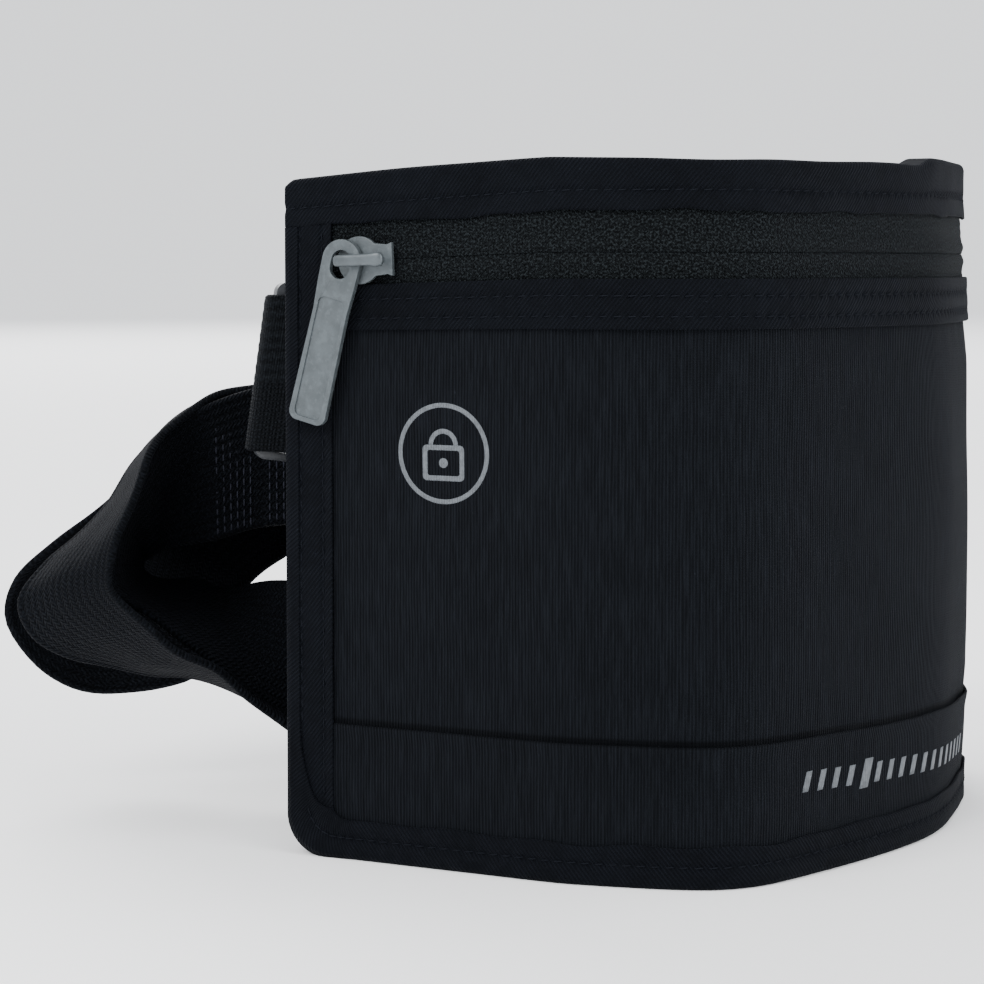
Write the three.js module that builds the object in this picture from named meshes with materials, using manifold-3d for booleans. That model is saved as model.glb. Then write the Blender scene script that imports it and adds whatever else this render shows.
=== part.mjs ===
// Money belt: a flat zipped waist pouch with a side-release buckle and a webbing strap.
// Millimetres, +Z up. The pouch stands on its bottom edge, bent into a curve, front towards -Y.
import * as THREE from "three";
import { mergeVertices } from "three/addons/utils/BufferGeometryUtils.js";
import Module from "manifold-3d";

const wasm = await Module();
wasm.setup();

// ---- driving dimensions -------------------------------------------------
const POUCH_HEIGHT = 135;
const BINDING_WIDTH = 9.4;
const TOP_BINDING_WIDTH = 9.9;
const BINDING_CLOTH = 0.6;
const CLOTH = 0.6;
const LAYER_GAP = 0.3;
const CORNER_RADIUS = 14;
const CORE_DEPTH = 6.4;
const HEM_Z = 26.5;
const WELT_Z = [103.4, 112.7];
const ZIP_Z = 117.5;
const ZIP_SLOT = 1.6;
const TAPE_LOWER_Z = 108.3;
const TAPE_UPPER_Z = 128;
const COIL_WIDTH = 1.6;
const COIL_D = [1.2, 2.5];
const LINING_D = [1.2, 1.6];
const DIVIDER_D = [2.4, 2.7];
const PAD_D = [3.0, 5.2];
const PAD_TOP_D = 4.4;
const PAD_STEP_Z = 107;
const BACK_D = [5.5, 6.1];

// The pouch seen from above: lengths and turns of its front face, left to right.
const LEFT_END = [-39.5, 25.2];
const LEFT_HEADING = -25;
const PLAN = [
  { length: 53, turn: 0 },
  { length: 8, turn: 10 },
  { length: 10, turn: 6 },
  { length: 12, turn: 11 },
  { length: 16, turn: 32 },
  { length: 10, turn: 8 },
  { length: 14, turn: 3 },
  { length: 20, turn: 7 },
  { length: 20, turn: 18 },
  { length: 20, turn: 3 },
  { length: 47, turn: 42 },
];
const POUCH_LENGTH = PLAN.reduce((sum, piece) => sum + piece.length, 0);
const BEND_STEP = 5.5;

// The upper left corner sags a little.
const SAG = 3.4;
const SAG_LENGTH = 55;
const SAG_FROM_Z = 92;

const SLIDER_S = 17.8;
const SLIDER_LENGTH = 11.6;
const SLIDER_WIDTH = 9.1;
const LEG_X = -4.2;
const TAB_RING = 4.1;
const TAB_HOLE = 2.1;
const TAB_LENGTH = 31.9;
const TAB_TILT = 16.5;

const STRAP_WIDTH = 30;
const STRAP_THICK = 1.3;

const BAR = [-43.5, 38.5, 94.2];
const BUCKLE_DROP = 8;
const BUCKLE_TURN = 14.5;
const BUCKLE_WIDTH = 38;
const BAR_END_HALF = 17.7;
const BUCKLE_THICK = 11;
const SOCKET_END = 35.2;
const PLUG_START = 36;
const PLUG_BAR = 58.75;
const CAVITY_HALF = 3.4;
const PRONG_V = 9;

const NAVY = 0x23242c;
const BINDING_COLOUR = 0x1c1d24;
const WEBBING_COLOUR = 0x2a2b34;

// ---- small helpers ------------------------------------------------------
const group = new THREE.Group();
group.name = "money_belt";

function material(colour, roughness, metalness) {
  return new THREE.MeshStandardMaterial({ color: colour, roughness, metalness });
}

function addPiece(name, geometry, colour, roughness = 0.9, metalness = 0) {
  const mesh = new THREE.Mesh(geometry, material(colour, roughness, metalness));
  mesh.name = name;
  group.add(mesh);
  return mesh;
}

function signedVolume(points, faces) {
  let total = 0;
  for (const [a, b, c] of faces) {
    const cross = new THREE.Vector3().crossVectors(points[b], points[c]);
    total += points[a].dot(cross) / 6;
  }
  return total;
}

function bodyFrom(points, faces) {
  const outward = signedVolume(points, faces) > 0;
  const geometry = new THREE.BufferGeometry();
  const position = [];
  for (const p of points) position.push(p.x, p.y, p.z);
  const index = [];
  for (const [a, b, c] of faces) index.push(...(outward ? [a, b, c] : [a, c, b]));
  geometry.setAttribute("position", new THREE.Float32BufferAttribute(position, 3));
  geometry.setIndex(index);
  geometry.computeVertexNormals();
  return geometry;
}

// A closed body with one cross-section carried through a row of stations.
// Each station turns a point [a, b] of the section into a point in space.
function loft(section, stations) {
  const points = [];
  const faces = [];
  const count = section.length;
  for (const station of stations) {
    for (const [a, b] of section) points.push(station(a, b));
  }
  for (let i = 0; i + 1 < stations.length; i += 1) {
    for (let j = 0; j < count; j += 1) {
      const k = (j + 1) % count;
      const here = i * count;
      const next = here + count;
      faces.push([here + j, here + k, next + k]);
      faces.push([here + j, next + k, next + j]);
    }
  }
  const outline = section.map(([a, b]) => new THREE.Vector2(a, b));
  const cap = THREE.ShapeUtils.triangulateShape(outline, []);
  const clockwise = THREE.ShapeUtils.area(outline) < 0;
  const last = (stations.length - 1) * count;
  for (const [a, b, c] of cap) {
    const [p, q, r] = clockwise ? [a, c, b] : [a, b, c];
    faces.push([p, r, q]);
    faces.push([last + p, last + q, last + r]);
  }
  return bodyFrom(points, faces);
}

function toManifold(geometry) {
  const bare = geometry.clone();
  bare.deleteAttribute("normal");
  bare.deleteAttribute("uv");
  const merged = mergeVertices(bare, 1e-5);
  return new wasm.Manifold(new wasm.Mesh({
    numProp: 3,
    vertProperties: new Float32Array(merged.attributes.position.array),
    triVerts: new Uint32Array(merged.index.array),
  }));
}

function fromManifold(solid) {
  const mesh = solid.getMesh();
  const geometry = new THREE.BufferGeometry();
  const stride = mesh.numProp;
  const position = [];
  for (let i = 0; i < mesh.vertProperties.length; i += stride) {
    position.push(...mesh.vertProperties.subarray(i, i + 3));
  }
  geometry.setAttribute("position", new THREE.Float32BufferAttribute(position, 3));
  geometry.setIndex(Array.from(mesh.triVerts));
  geometry.computeVertexNormals();
  return geometry;
}

// Join the first list of bodies, then cut the second list away.
function carve(solids, cuts = []) {
  let body = toManifold(solids[0]);
  for (const solid of solids.slice(1)) body = body.add(toManifold(solid));
  for (const cut of cuts) body = body.subtract(toManifold(cut));
  return fromManifold(body);
}

function block(x, y, z) {
  const box = new THREE.BoxGeometry(x[1] - x[0], y[1] - y[0], z[1] - z[0]);
  box.translate((x[0] + x[1]) / 2, (y[0] + y[1]) / 2, (z[0] + z[1]) / 2);
  return box;
}

function roundedOutline(x, y, radius) {
  const shape = new THREE.Shape();
  shape.moveTo(x[0] + radius, y[0]);
  shape.lineTo(x[1] - radius, y[0]);
  shape.absarc(x[1] - radius, y[0] + radius, radius, -Math.PI / 2, 0);
  shape.lineTo(x[1], y[1] - radius);
  shape.absarc(x[1] - radius, y[1] - radius, radius, 0, Math.PI / 2);
  shape.lineTo(x[0] + radius, y[1]);
  shape.absarc(x[0] + radius, y[1] - radius, radius, Math.PI / 2, Math.PI);
  shape.lineTo(x[0], y[0] + radius);
  shape.absarc(x[0] + radius, y[0] + radius, radius, Math.PI, Math.PI * 1.5);
  return shape;
}

function slab(shape, z, steps = 5) {
  const geometry = new THREE.ExtrudeGeometry(shape, {
    depth: z[1] - z[0],
    bevelEnabled: false,
    curveSegments: steps,
  });
  geometry.translate(0, 0, z[0]);
  return geometry;
}

// ---- the pouch's curved sheet ------------------------------------------
// s runs along the front face from the left end, z is height, d is depth into the pouch.
function planAt(s) {
  let [x, y] = LEFT_END;
  let heading = THREE.MathUtils.degToRad(LEFT_HEADING);
  let left = s;
  for (const [i, piece] of PLAN.entries()) {
    const last = i === PLAN.length - 1;
    const run = last ? left : Math.min(left, piece.length);
    const turn = THREE.MathUtils.degToRad(piece.turn) * run / piece.length;
    const chord = turn === 0 ? run : run * Math.sin(turn / 2) / (turn / 2);
    x += chord * Math.cos(heading + turn / 2);
    y += chord * Math.sin(heading + turn / 2);
    heading += turn;
    left -= run;
    if (left <= 0) break;
  }
  return { x, y, heading };
}

function sagAt(s, z) {
  const along = Math.max(0, 1 - s / SAG_LENGTH);
  const up = THREE.MathUtils.clamp((z - SAG_FROM_Z) / (POUCH_HEIGHT - SAG_FROM_Z), 0, 1);
  return SAG * along * up;
}

function wrap(s, z, d) {
  const { x, y, heading } = planAt(s);
  return new THREE.Vector3(
    x - d * Math.sin(heading),
    y + d * Math.cos(heading),
    z - sagAt(s, z),
  );
}

function bendStops() {
  const stops = [0];
  let start = 0;
  for (const piece of PLAN) {
    const steps = Math.max(1, Math.round(Math.abs(piece.turn) / BEND_STEP));
    for (let i = 1; i <= steps; i += 1) stops.push(start + piece.length * i / steps);
    start += piece.length;
  }
  return stops;
}
const STOPS = bendStops();

function stopsBetween(from, to) {
  return [from, ...STOPS.filter((s) => s > from + 0.4 && s < to - 0.4), to];
}

// A cloth layer between two heights and two depths.
function layer(s, z, d) {
  const section = [[z[0], d[0]], [z[1], d[0]], [z[1], d[1]], [z[0], d[1]]];
  const stations = stopsBetween(...s).map((at) => (a, b) => wrap(at, a, b));
  return loft(section, stations);
}

// A layer whose two lower corners are rounded.
function corneredLayer(inset, top, d) {
  const radius = CORNER_RADIUS - inset;
  const ends = [inset, POUCH_LENGTH - inset];
  const rounds = [0.04, 0.15, 0.32, 0.55, 0.8, 1].map((t) => t * radius);
  const inner = STOPS.filter((s) => s > ends[0] + radius + 0.4 && s < ends[1] - radius - 0.4);
  const left = rounds.map((r) => ends[0] + r);
  const right = rounds.map((r) => ends[1] - r).reverse();
  const stations = [...left, ...inner, ...right].map((s) => {
    const near = Math.min(s - ends[0], ends[1] - s, radius);
    const low = inset + radius - Math.sqrt(radius ** 2 - (radius - near) ** 2);
    return (a, b) => wrap(s, a < 0 ? low : top, b);
  });
  const section = [[-1, d[0]], [1, d[0]], [1, d[1]], [-1, d[1]]];
  return loft(section, stations);
}

// The folded cross-section of an edge tape: front leg, edge, back leg.
function foldedTape(width) {
  const outer = CORE_DEPTH + BINDING_CLOTH;
  return [
    [0, -BINDING_CLOTH], [width, -BINDING_CLOTH], [width, 0], [BINDING_CLOTH, 0],
    [BINDING_CLOTH, CORE_DEPTH], [width, CORE_DEPTH], [width, outer], [0, outer],
  ];
}

function edgePath() {
  const top = POUCH_HEIGHT - TOP_BINDING_WIDTH - 0.2;
  const r = CORNER_RADIUS;
  const path = [{ s: 0, z: top, ins: 1, inz: 0 }, { s: 0, z: SAG_FROM_Z, ins: 1, inz: 0 }];
  const corner = 7;
  for (let i = 0; i <= corner; i += 1) {
    const angle = Math.PI / 2 * i / corner;
    path.push({ s: r - r * Math.cos(angle), z: r - r * Math.sin(angle),
      ins: Math.cos(angle), inz: Math.sin(angle) });
  }
  for (const s of STOPS.filter((v) => v > r + 1 && v < POUCH_LENGTH - r - 1)) {
    path.push({ s, z: 0, ins: 0, inz: 1 });
  }
  for (let i = corner; i >= 0; i -= 1) {
    const angle = Math.PI / 2 * i / corner;
    path.push({ s: POUCH_LENGTH - r + r * Math.cos(angle), z: r - r * Math.sin(angle),
      ins: -Math.cos(angle), inz: Math.sin(angle) });
  }
  path.push({ s: POUCH_LENGTH, z: top, ins: -1, inz: 0 });
  return path;
}

function edgeBinding() {
  const stations = edgePath().map(({ s, z, ins, inz }) => (
    (a, b) => wrap(s + a * ins, z + a * inz, b)
  ));
  return loft(foldedTape(BINDING_WIDTH), stations);
}

function topBinding() {
  const stations = stopsBetween(0, POUCH_LENGTH).map((s) => (
    (a, b) => wrap(s, POUCH_HEIGHT - a, b)
  ));
  return loft(foldedTape(TOP_BINDING_WIDTH), stations);
}

function steppedPad() {
  const section = [
    [6, PAD_D[0]], [PAD_STEP_Z, PAD_D[0]], [PAD_STEP_Z, PAD_TOP_D],
    [TAPE_UPPER_Z, PAD_TOP_D], [TAPE_UPPER_Z, PAD_D[1]], [6, PAD_D[1]],
  ];
  const stations = stopsBetween(6, POUCH_LENGTH - 6).map((s) => (
    (a, b) => wrap(s, a, b)
  ));
  return loft(section, stations);
}

const innerEnds = [1.2, POUCH_LENGTH - 1.2];
const weltEnds = [BINDING_WIDTH + 0.3, POUCH_LENGTH - BINDING_WIDTH - 0.3];
const clothD = [LAYER_GAP, LAYER_GAP + CLOTH];

addPiece("edge_binding", edgeBinding(), BINDING_COLOUR);
addPiece("top_binding", topBinding(), BINDING_COLOUR);
addPiece("pocket_mouth_binding", layer(weltEnds, WELT_Z, [-BINDING_CLOTH, 0]), BINDING_COLOUR);
addPiece("front_panel", layer(innerEnds, [HEM_Z + 0.5, TAPE_LOWER_Z - 0.3], clothD), NAVY);
addPiece("front_hem_panel", corneredLayer(1.2, HEM_Z, clothD), NAVY);
addPiece("zip_tape_lower", layer(innerEnds, [TAPE_LOWER_Z, ZIP_Z - ZIP_SLOT / 2], clothD), NAVY);
addPiece("zip_tape_upper", layer(innerEnds, [ZIP_Z + ZIP_SLOT / 2, TAPE_UPPER_Z], clothD), NAVY);

const coilLow = [ZIP_Z - ZIP_SLOT / 2 - COIL_WIDTH, ZIP_Z - ZIP_SLOT / 2];
const coilHigh = [ZIP_Z + ZIP_SLOT / 2, ZIP_Z + ZIP_SLOT / 2 + COIL_WIDTH];
addPiece("zip_coil_lower", layer(innerEnds, coilLow, COIL_D), 0x1a1a20, 0.6);
addPiece("zip_coil_upper", layer(innerEnds, coilHigh, COIL_D), 0x1a1a20, 0.6);
addPiece("rfid_lining", layer([6, POUCH_LENGTH - 6], [6, 106], LINING_D), 0x8c9096, 0.4);
addPiece("inner_divider", layer([6, POUCH_LENGTH - 6], [6, 106], DIVIDER_D), 0x3a3c44);
addPiece("back_pad", steppedPad(), 0x55575e);
addPiece("back_panel", corneredLayer(1.2, POUCH_HEIGHT - 1.2, BACK_D), NAVY);

// ---- zip slider and pull tab -------------------------------------------
// Local frame on the straight left wing: x along the zip, y up, z towards the viewer.
function sliderFrame() {
  const here = wrap(SLIDER_S, ZIP_Z, 0);
  const there = wrap(SLIDER_S + 30, ZIP_Z, 0);
  const along = there.sub(here).normalize();
  const heading = planAt(SLIDER_S).heading;
  const out = new THREE.Vector3(Math.sin(heading), -Math.cos(heading), 0);
  const up = new THREE.Vector3().crossVectors(out, along);
  const frame = new THREE.Matrix4().makeBasis(along, up, out);
  return frame.setPosition(here);
}
const onZip = sliderFrame();

function zipSlider() {
  const half = SLIDER_LENGTH / 2;
  const wide = SLIDER_WIDTH / 2;
  const plate = new THREE.Shape();
  const open = Math.asin(3.1 / wide);
  plate.absarc(wide - half, 0, wide, open, Math.PI * 2 - open);
  plate.lineTo(half - 1, -2.8);
  plate.lineTo(half, -3.2);
  plate.lineTo(half, 3.2);
  plate.lineTo(half - 1, 2.8);
  const front = slab(plate, [0.9, 1.9], 16);
  const rear = slab(roundedOutline([-half, half], [-3.9, 3.9], 2.2), [-3.9, -2.9]);
  const post = block([-2.5, 2.5], [-0.45, 0.45], [-3.2, 1.2]);
  const legLeft = block([LEG_X - 0.6, LEG_X + 0.6], [-0.8, 0.8], [1.5, 4.4]);
  const legRight = block([2.7, 3.9], [-0.8, 0.8], [1.5, 4.4]);
  const arch = block([LEG_X - 0.6, 3.9], [-1, 1], [4.1, 5.1]);
  return carve([front, rear, post, legLeft, legRight, arch]);
}

// The tab hangs from the left leg of the slider's bridge by a round ring.
function pullTab() {
  const end = -TAB_LENGTH;
  const shape = new THREE.Shape();
  shape.absarc(0, 0, TAB_RING, 0, Math.PI);
  shape.lineTo(-4, -4.5);
  shape.lineTo(-3.65, -10);
  shape.lineTo(-4, end + 1.8);
  shape.absarc(-2.2, end + 1.8, 1.8, Math.PI, Math.PI * 1.5);
  shape.absarc(2.2, end + 1.8, 1.8, Math.PI * 1.5, Math.PI * 2);
  shape.lineTo(3.65, -10);
  shape.lineTo(4, -4.5);
  const hole = new THREE.Path();
  hole.absarc(0, 0, TAB_HOLE, Math.PI, 0, true);
  hole.absarc(0, -1.4, TAB_HOLE, 0, -Math.PI, true);
  shape.holes.push(hole);
  const blank = slab(shape, [2.4, 3.6], 8);
  const recess = slab(roundedOutline([-2.9, 2.9], [end + 0.9, -7.4], 1.3), [3.3, 4]);
  const tab = carve([blank], [recess]);
  tab.rotateZ(-THREE.MathUtils.degToRad(TAB_TILT));
  tab.translate(LEG_X, 0, 0);
  return tab;
}

addPiece("zip_slider", zipSlider().applyMatrix4(onZip), 0x5b5e63, 0.45, 0.6);
addPiece("pull_tab", pullTab().applyMatrix4(onZip), 0x5b5e63, 0.45, 0.6);

// ---- buckle -------------------------------------------------------------
// Local frame at the socket's bar: x along the buckle, y across it, z towards the viewer.
function buckleFrame() {
  const turn = THREE.MathUtils.degToRad(BUCKLE_TURN);
  const drop = THREE.MathUtils.degToRad(BUCKLE_DROP);
  const along = new THREE.Vector3(
    Math.cos(turn) * Math.cos(drop), Math.sin(turn) * Math.cos(drop), -Math.sin(drop));
  const up = new THREE.Vector3(0, 0, 1);
  const out = new THREE.Vector3().crossVectors(along, up).normalize();
  const across = new THREE.Vector3().crossVectors(out, along);
  const frame = new THREE.Matrix4().makeBasis(along, across, out);
  return frame.setPosition(...BAR);
}
const onBuckle = buckleFrame();

// A bar of the buckle lying along x with rounded long edges.
function bodyBlock(x, half, thick, round) {
  const outline = roundedOutline([-half, half], [-thick, thick], round);
  const geometry = slab(outline, x, 4);
  geometry.rotateX(Math.PI / 2);
  geometry.rotateZ(Math.PI / 2);
  return geometry;
}

function socket() {
  const half = BUCKLE_WIDTH / 2;
  const thick = BUCKLE_THICK / 2;
  const shell = bodyBlock([10, SOCKET_END], half, thick, 2.5);
  const frame = slab(roundedOutline([-1.8, 11], [-BAR_END_HALF, BAR_END_HALF], 2), [-2, 2]);
  const hollow = block([13, SOCKET_END + 1], [-16, 16], [-CAVITY_HALF, CAVITY_HALF]);
  const sides = block([15, SOCKET_END + 1], [-half - 1, half + 1], [-CAVITY_HALF, CAVITY_HALF]);
  const strapHole = slab(roundedOutline([1.6, 8.6], [-16.2, 16.2], 0.8), [-3, 3]);
  const ribs = [-1, 1].map((side) => (
    block([12, SOCKET_END - 1.2], [side * 3.8 - 0.6, side * 3.8 + 0.6],
      [-CAVITY_HALF - 0.4, CAVITY_HALF + 0.4])
  ));
  const carved = carve([shell, frame], [hollow, sides, strapHole]);
  return carve([carved, ...ribs]);
}

function plug() {
  const base = bodyBlock([PLUG_START, 46], 17.5, 4.8, 2);
  const plate = slab(roundedOutline([44, 60.6], [-18.2, 18.2], 3), [-2, 2]);
  const slot = slab(roundedOutline([47.6, 56.9], [-15.6, 15.6], 1), [-3, 3]);
  const guide = block([14, PLUG_START + 1], [-2.2, 2.2], [-2.4, 2.4]);
  return carve([base, plate, guide], [slot]);
}

// One sprung arm; side is +1 for the upper one and -1 for the lower one.
function prong(side) {
  const shape = new THREE.Shape();
  shape.moveTo(PLUG_START - 0.3, PRONG_V - 1.6);
  shape.lineTo(PLUG_START - 0.3, PRONG_V + 1.8);
  shape.lineTo(27.5, PRONG_V + 3);
  shape.lineTo(27, 17.4);
  shape.quadraticCurveTo(25, 18.6, 21, 18.2);
  shape.quadraticCurveTo(17, 17.5, 15.6, 13);
  shape.lineTo(16.4, PRONG_V - 0.4);
  shape.lineTo(24, PRONG_V - 0.8);
  const arm = slab(shape, [-2.8, 2.8], 5);
  if (side > 0) return arm;
  return arm.rotateX(Math.PI);
}

const PLASTIC = 0x3b3d42;
addPiece("buckle_socket", socket().applyMatrix4(onBuckle), PLASTIC, 0.5);
addPiece("buckle_plug", plug().applyMatrix4(onBuckle), PLASTIC, 0.5);
addPiece("prong_upper", prong(1).applyMatrix4(onBuckle), PLASTIC, 0.5);
addPiece("prong_lower", prong(-1).applyMatrix4(onBuckle), PLASTIC, 0.5);

// ---- elastic tab: sewn behind the left end and looped round the socket's bar ----
const TAB_Z = [78.3, 109.3];
const ELASTIC = 1.2;
// The strip's centre line round the bar, as [along the buckle, towards the viewer].
const BAR_LOOP = [
  [1.8, 4.7], [-0.6, 3.6], [-2.6, 2.4], [-3.2, -0.2], [-2.3, -2.7], [0.3, -3.7],
  [3.2, -2.7], [4.6, -0.4], [5.4, 2.4], [6.4, 5.2], [8.6, 7.9],
];

function elasticRoute() {
  const back = CORE_DEPTH + BINDING_CLOTH + 0.3 + ELASTIC / 2;
  const turn = THREE.MathUtils.degToRad(BUCKLE_TURN);
  const [bx, by] = BAR;
  const loop = BAR_LOOP.map(([u, w]) => (
    new THREE.Vector3(bx + u * Math.cos(turn) + w * Math.sin(turn),
      by + u * Math.sin(turn) - w * Math.cos(turn), 0)
  ));
  const ends = [wrap(12, 0, back), wrap(0.5, 0, back), wrap(8, 0, back + 2)];
  for (const end of ends) end.z = 0;
  return [ends[0], ends[1], ...loop, ends[2]];
}

function elasticTab() {
  const curve = new THREE.CatmullRomCurve3(elasticRoute(), false, "centripetal");
  const steps = 52;
  const across = new THREE.Vector3().setFromMatrixColumn(onBuckle, 1);
  const lean = across.divideScalar(across.z);
  const stations = [];
  for (let i = 0; i <= steps; i += 1) {
    const at = curve.getPoint(i / steps);
    const dir = curve.getTangent(i / steps).normalize();
    const side = new THREE.Vector3(-dir.y, dir.x, 0);
    const share = THREE.MathUtils.clamp((-36.5 - at.x) / 4, 0, 1);
    stations.push((a, b) => new THREE.Vector3(
      at.x + side.x * b + share * lean.x * (a - BAR[2]),
      at.y + side.y * b + share * lean.y * (a - BAR[2]), a));
  }
  const h = ELASTIC / 2;
  return loft([[TAB_Z[0], -h], [TAB_Z[1], -h], [TAB_Z[1], h], [TAB_Z[0], h]], stations);
}

addPiece("elastic_tab", elasticTab(), 0x33343b);

// ---- waist strap --------------------------------------------------------
// Each station: a point on the strap's centre line and the direction of its width.
const anchorS = POUCH_LENGTH - 10;
const anchorD = CORE_DEPTH + BINDING_CLOTH + 0.4 + STRAP_THICK / 2;

function anchorStation(s, z) {
  const at = wrap(s, z, anchorD);
  return [at.x, at.y, at.z, 0, 0, 1];
}

const TAIL = [
  [-48.5, 67.2, 75, 0, 0, 1], [-34, 67.2, 76, 0, 0, 1], [-22, 67.2, 77.5, 0, 0, 1],
  [-4, 67, 79, 0, 0, 1], [12, 67, 79, 0, 0, 1], [24, 67, 79, 0, 0, 1], [34, 67, 80, 0, 0, 1],
  [37.3, 65.8, 80.6, 0, 0, 1], [38.6, 62.5, 81.4, 0, 0, 1], [37.3, 59.2, 82.2, 0.1, 0, 1],
  [35, 58, 82.4, 0.14, 0.03, 1], [25.5, 58, 84.3, 0.14, 0.03, 1], [16.5, 57.5, 85.5, 0.14, 0.03, 1],
];
const HAIRPIN = [
  [12.1, 56.2, 86, 0.14, 0.03, 1], [9.1, 54.6, 86.3, 0.14, 0.03, 1], [8.3, 52, 86.4, 0.14, 0.03, 1],
  [9.9, 50, 86.3, 0.14, 0.03, 1], [13.6, 49.8, 86, 0.14, 0.03, 1],
];
const FIRST_LEG = [
  [25.5, 52.6, 84.3, 0.14, 0.03, 1], [35, 55.4, 82.6, 0.13, 0, 1], [39.4, 57.6, 82, 0.1, 0, 1],
  [41.4, 62.5, 81.2, 0, 0, 1], [39.4, 67.4, 80.4, 0, 0, 1], [34, 69.6, 80, 0, 0, 1],
  [24, 69.6, 79, 0, 0, 1], [12, 69.6, 79, 0, 0, 1], [-4, 69.6, 79, 0, 0, 1],
  [-22, 70, 78, 0, 0, 1],
];
const INNER_LOOP = [
  [-43, 70, 75, 0, 0, 1], [-51, 70, 74, 0, 0, 1], [-59, 69, 71.5, 0, -0.1, 1],
  [-66, 70, 69, 0.1, -0.3, 0.9], [-71, 71, 66, 0.1, -0.5, 0.8], [-74, 70, 62, 0.1, -0.7, 0.7],
  [-77, 70, 58, 0, -0.9, 0.4], [-78, 69, 54, -0.1, -1, 0.2], [-78, 69, 50, -0.1, -1, 0.1],
  [-76, 69, 47, -0.1, -1, 0], [-71, 70, 44.5, 0, -1, -0.1], [-65, 70, 42, 0, -1, -0.3],
  [-58, 70, 38, 0, -0.9, -0.4], [-51, 69.5, 35.5, 0, -0.7, -0.7], [-43, 67, 33.6, 0, -0.35, -0.94],
  [-30, 66, 34, 0, -0.2, -1], [-16, 66, 33, 0, -0.1, -1], [-7, 62, 31, 0, -0.3, -0.95],
  [-7, 56, 24, 0, -0.5, -0.85], [-14, 54, 16, 0, -0.85, -0.5],
];
const OUTER_FAN = [
  [-26, 57, 13, 0, -1, -0.1], [-36, 61, 15, 0.1, -1, 0.05], [-44, 64, 19.4, 0.1, -1, 0.1],
  [-53, 64, 24.4, 0.2, -1, 0.1], [-61, 62, 28.6, 0.3, -0.95, 0.2], [-69, 59, 32, 0.35, -0.9, 0.3],
  [-76, 57, 36, 0.4, -0.8, 0.4], [-83, 55, 40, 0.5, -0.7, 0.5], [-87, 53, 44, 0.65, -0.6, 0.45],
  [-88, 52, 50, 0.75, -0.55, 0.35], [-85, 54, 56, 0.65, -0.7, 0.3], [-81, 57, 61, 0.5, -0.8, 0.3],
  [-77, 61, 67, 0.35, -0.9, 0.25], [-74, 67, 74.5, 0.25, -0.95, 0.2], [-71, 73, 78.8, 0.2, -0.95, 0.15],
  [-66, 79, 83.2, 0.2, -1, 0.1], [-60, 84, 86, 0.15, -1, 0.1], [-52, 87, 87.8, 0.1, -1, 0.05],
  [-45, 89, 88.8, 0, -1, 0], [-26, 90, 91, 0, -1, 0], [-13, 90, 92.5, 0, -1, 0],
  [-5, 90, 89.5, 0, -1, -0.1], [-10, 90, 84, 0.1, -0.9, -0.4], [-22, 89, 79, 0.3, -0.6, -0.7],
];
const BACK_LOOP = [
  [-45, 88, 69, 0.54, 0, -0.84], [-53, 87, 64, 0.54, 0, -0.84], [-59, 86.5, 60, 0.56, 0, -0.83],
  [-64, 86.5, 55, 0.62, 0, -0.78], [-67, 87, 48, 0.6, 0, -0.8], [-69, 88, 41.5, 0.55, 0, -0.83],
  [-72, 89, 37.5, 0.4, 0, -0.92], [-76, 90, 36, 0.2, 0, -1], [-81, 91, 35, 0, 0, -1],
  [-86, 90.5, 35, -0.15, -0.1, -1], [-91, 89, 37, -0.3, -0.4, -0.9], [-95, 88.5, 40, -0.4, -0.6, -0.7],
  [-97, 88.5, 45, -0.6, -0.7, -0.45], [-95, 89, 51, -0.6, -0.8, -0.3], [-89, 90, 56, -0.4, -0.9, -0.1],
  [-82, 92, 60, -0.25, -1, 0.1], [-76, 95, 63, -0.2, -0.9, 0.3], [-67, 99, 66, -0.1, -0.5, 0.85],
  [-56, 101, 67, 0, -0.1, 1], [-40, 102, 68, 0, 0, 1],
];
const FAR_LEG = [
  [-10, 104, 70, 0, 0, 1], [20, 110, 73, 0, 0, 1], [48, 116.5, 75, 0, 0, 1], [72, 121.3, 76, 0, 0, 1],
  [85.5, 121.4, 76, 0, 0, 1],
];

function strapStations() {
  return [
    ...TAIL, ...HAIRPIN, ...FIRST_LEG, ...INNER_LOOP, ...OUTER_FAN, ...BACK_LOOP, ...FAR_LEG,
    anchorStation(POUCH_LENGTH + 1.5, 76), anchorStation(POUCH_LENGTH - 5, 76),
    anchorStation(anchorS, 76),
  ];
}

function strapBody() {
  const stations = strapStations();
  const centre = stations.map(([x, y, z]) => new THREE.Vector3(x, y, z));
  const width = stations.map(([, , , x, y, z]) => new THREE.Vector3(x, y, z).normalize());
  const path = new THREE.CatmullRomCurve3(centre, false, "centripetal");
  const across = new THREE.CatmullRomCurve3(width, false, "catmullrom");
  const between = 3;
  const steps = (stations.length - 1) * between;
  const places = [];
  for (let i = 0; i <= steps; i += 1) {
    const at = path.getPoint(i / steps);
    const dir = path.getTangent(i / steps).normalize();
    const w = across.getPoint(i / steps).normalize();
    const normal = new THREE.Vector3().crossVectors(dir, w).normalize();
    places.push((a, b) => at.clone().addScaledVector(w, a).addScaledVector(normal, b));
  }
  const h = STRAP_WIDTH / 2;
  const t = STRAP_THICK / 2;
  return loft([[-h, -t], [h, -t], [h, t], [-h, t]], places);
}

addPiece("waist_strap", strapBody(), WEBBING_COLOUR);

// ---- keeper: a plain elastic ring round the doubled strap -----------------
const KEEPER_X = [11, 19];

function keeper() {
  const outer = slab(roundedOutline([64.6, 72], [61.6, 96.4], 1.6), KEEPER_X, 4);
  const inner = slab(roundedOutline([65.9, 70.7], [63.2, 94.8], 0.8), [KEEPER_X[0] - 1, KEEPER_X[1] + 1], 4);
  const ring = carve([outer], [inner]);
  ring.rotateX(Math.PI / 2);
  ring.rotateZ(Math.PI / 2);
  return ring;
}

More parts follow.
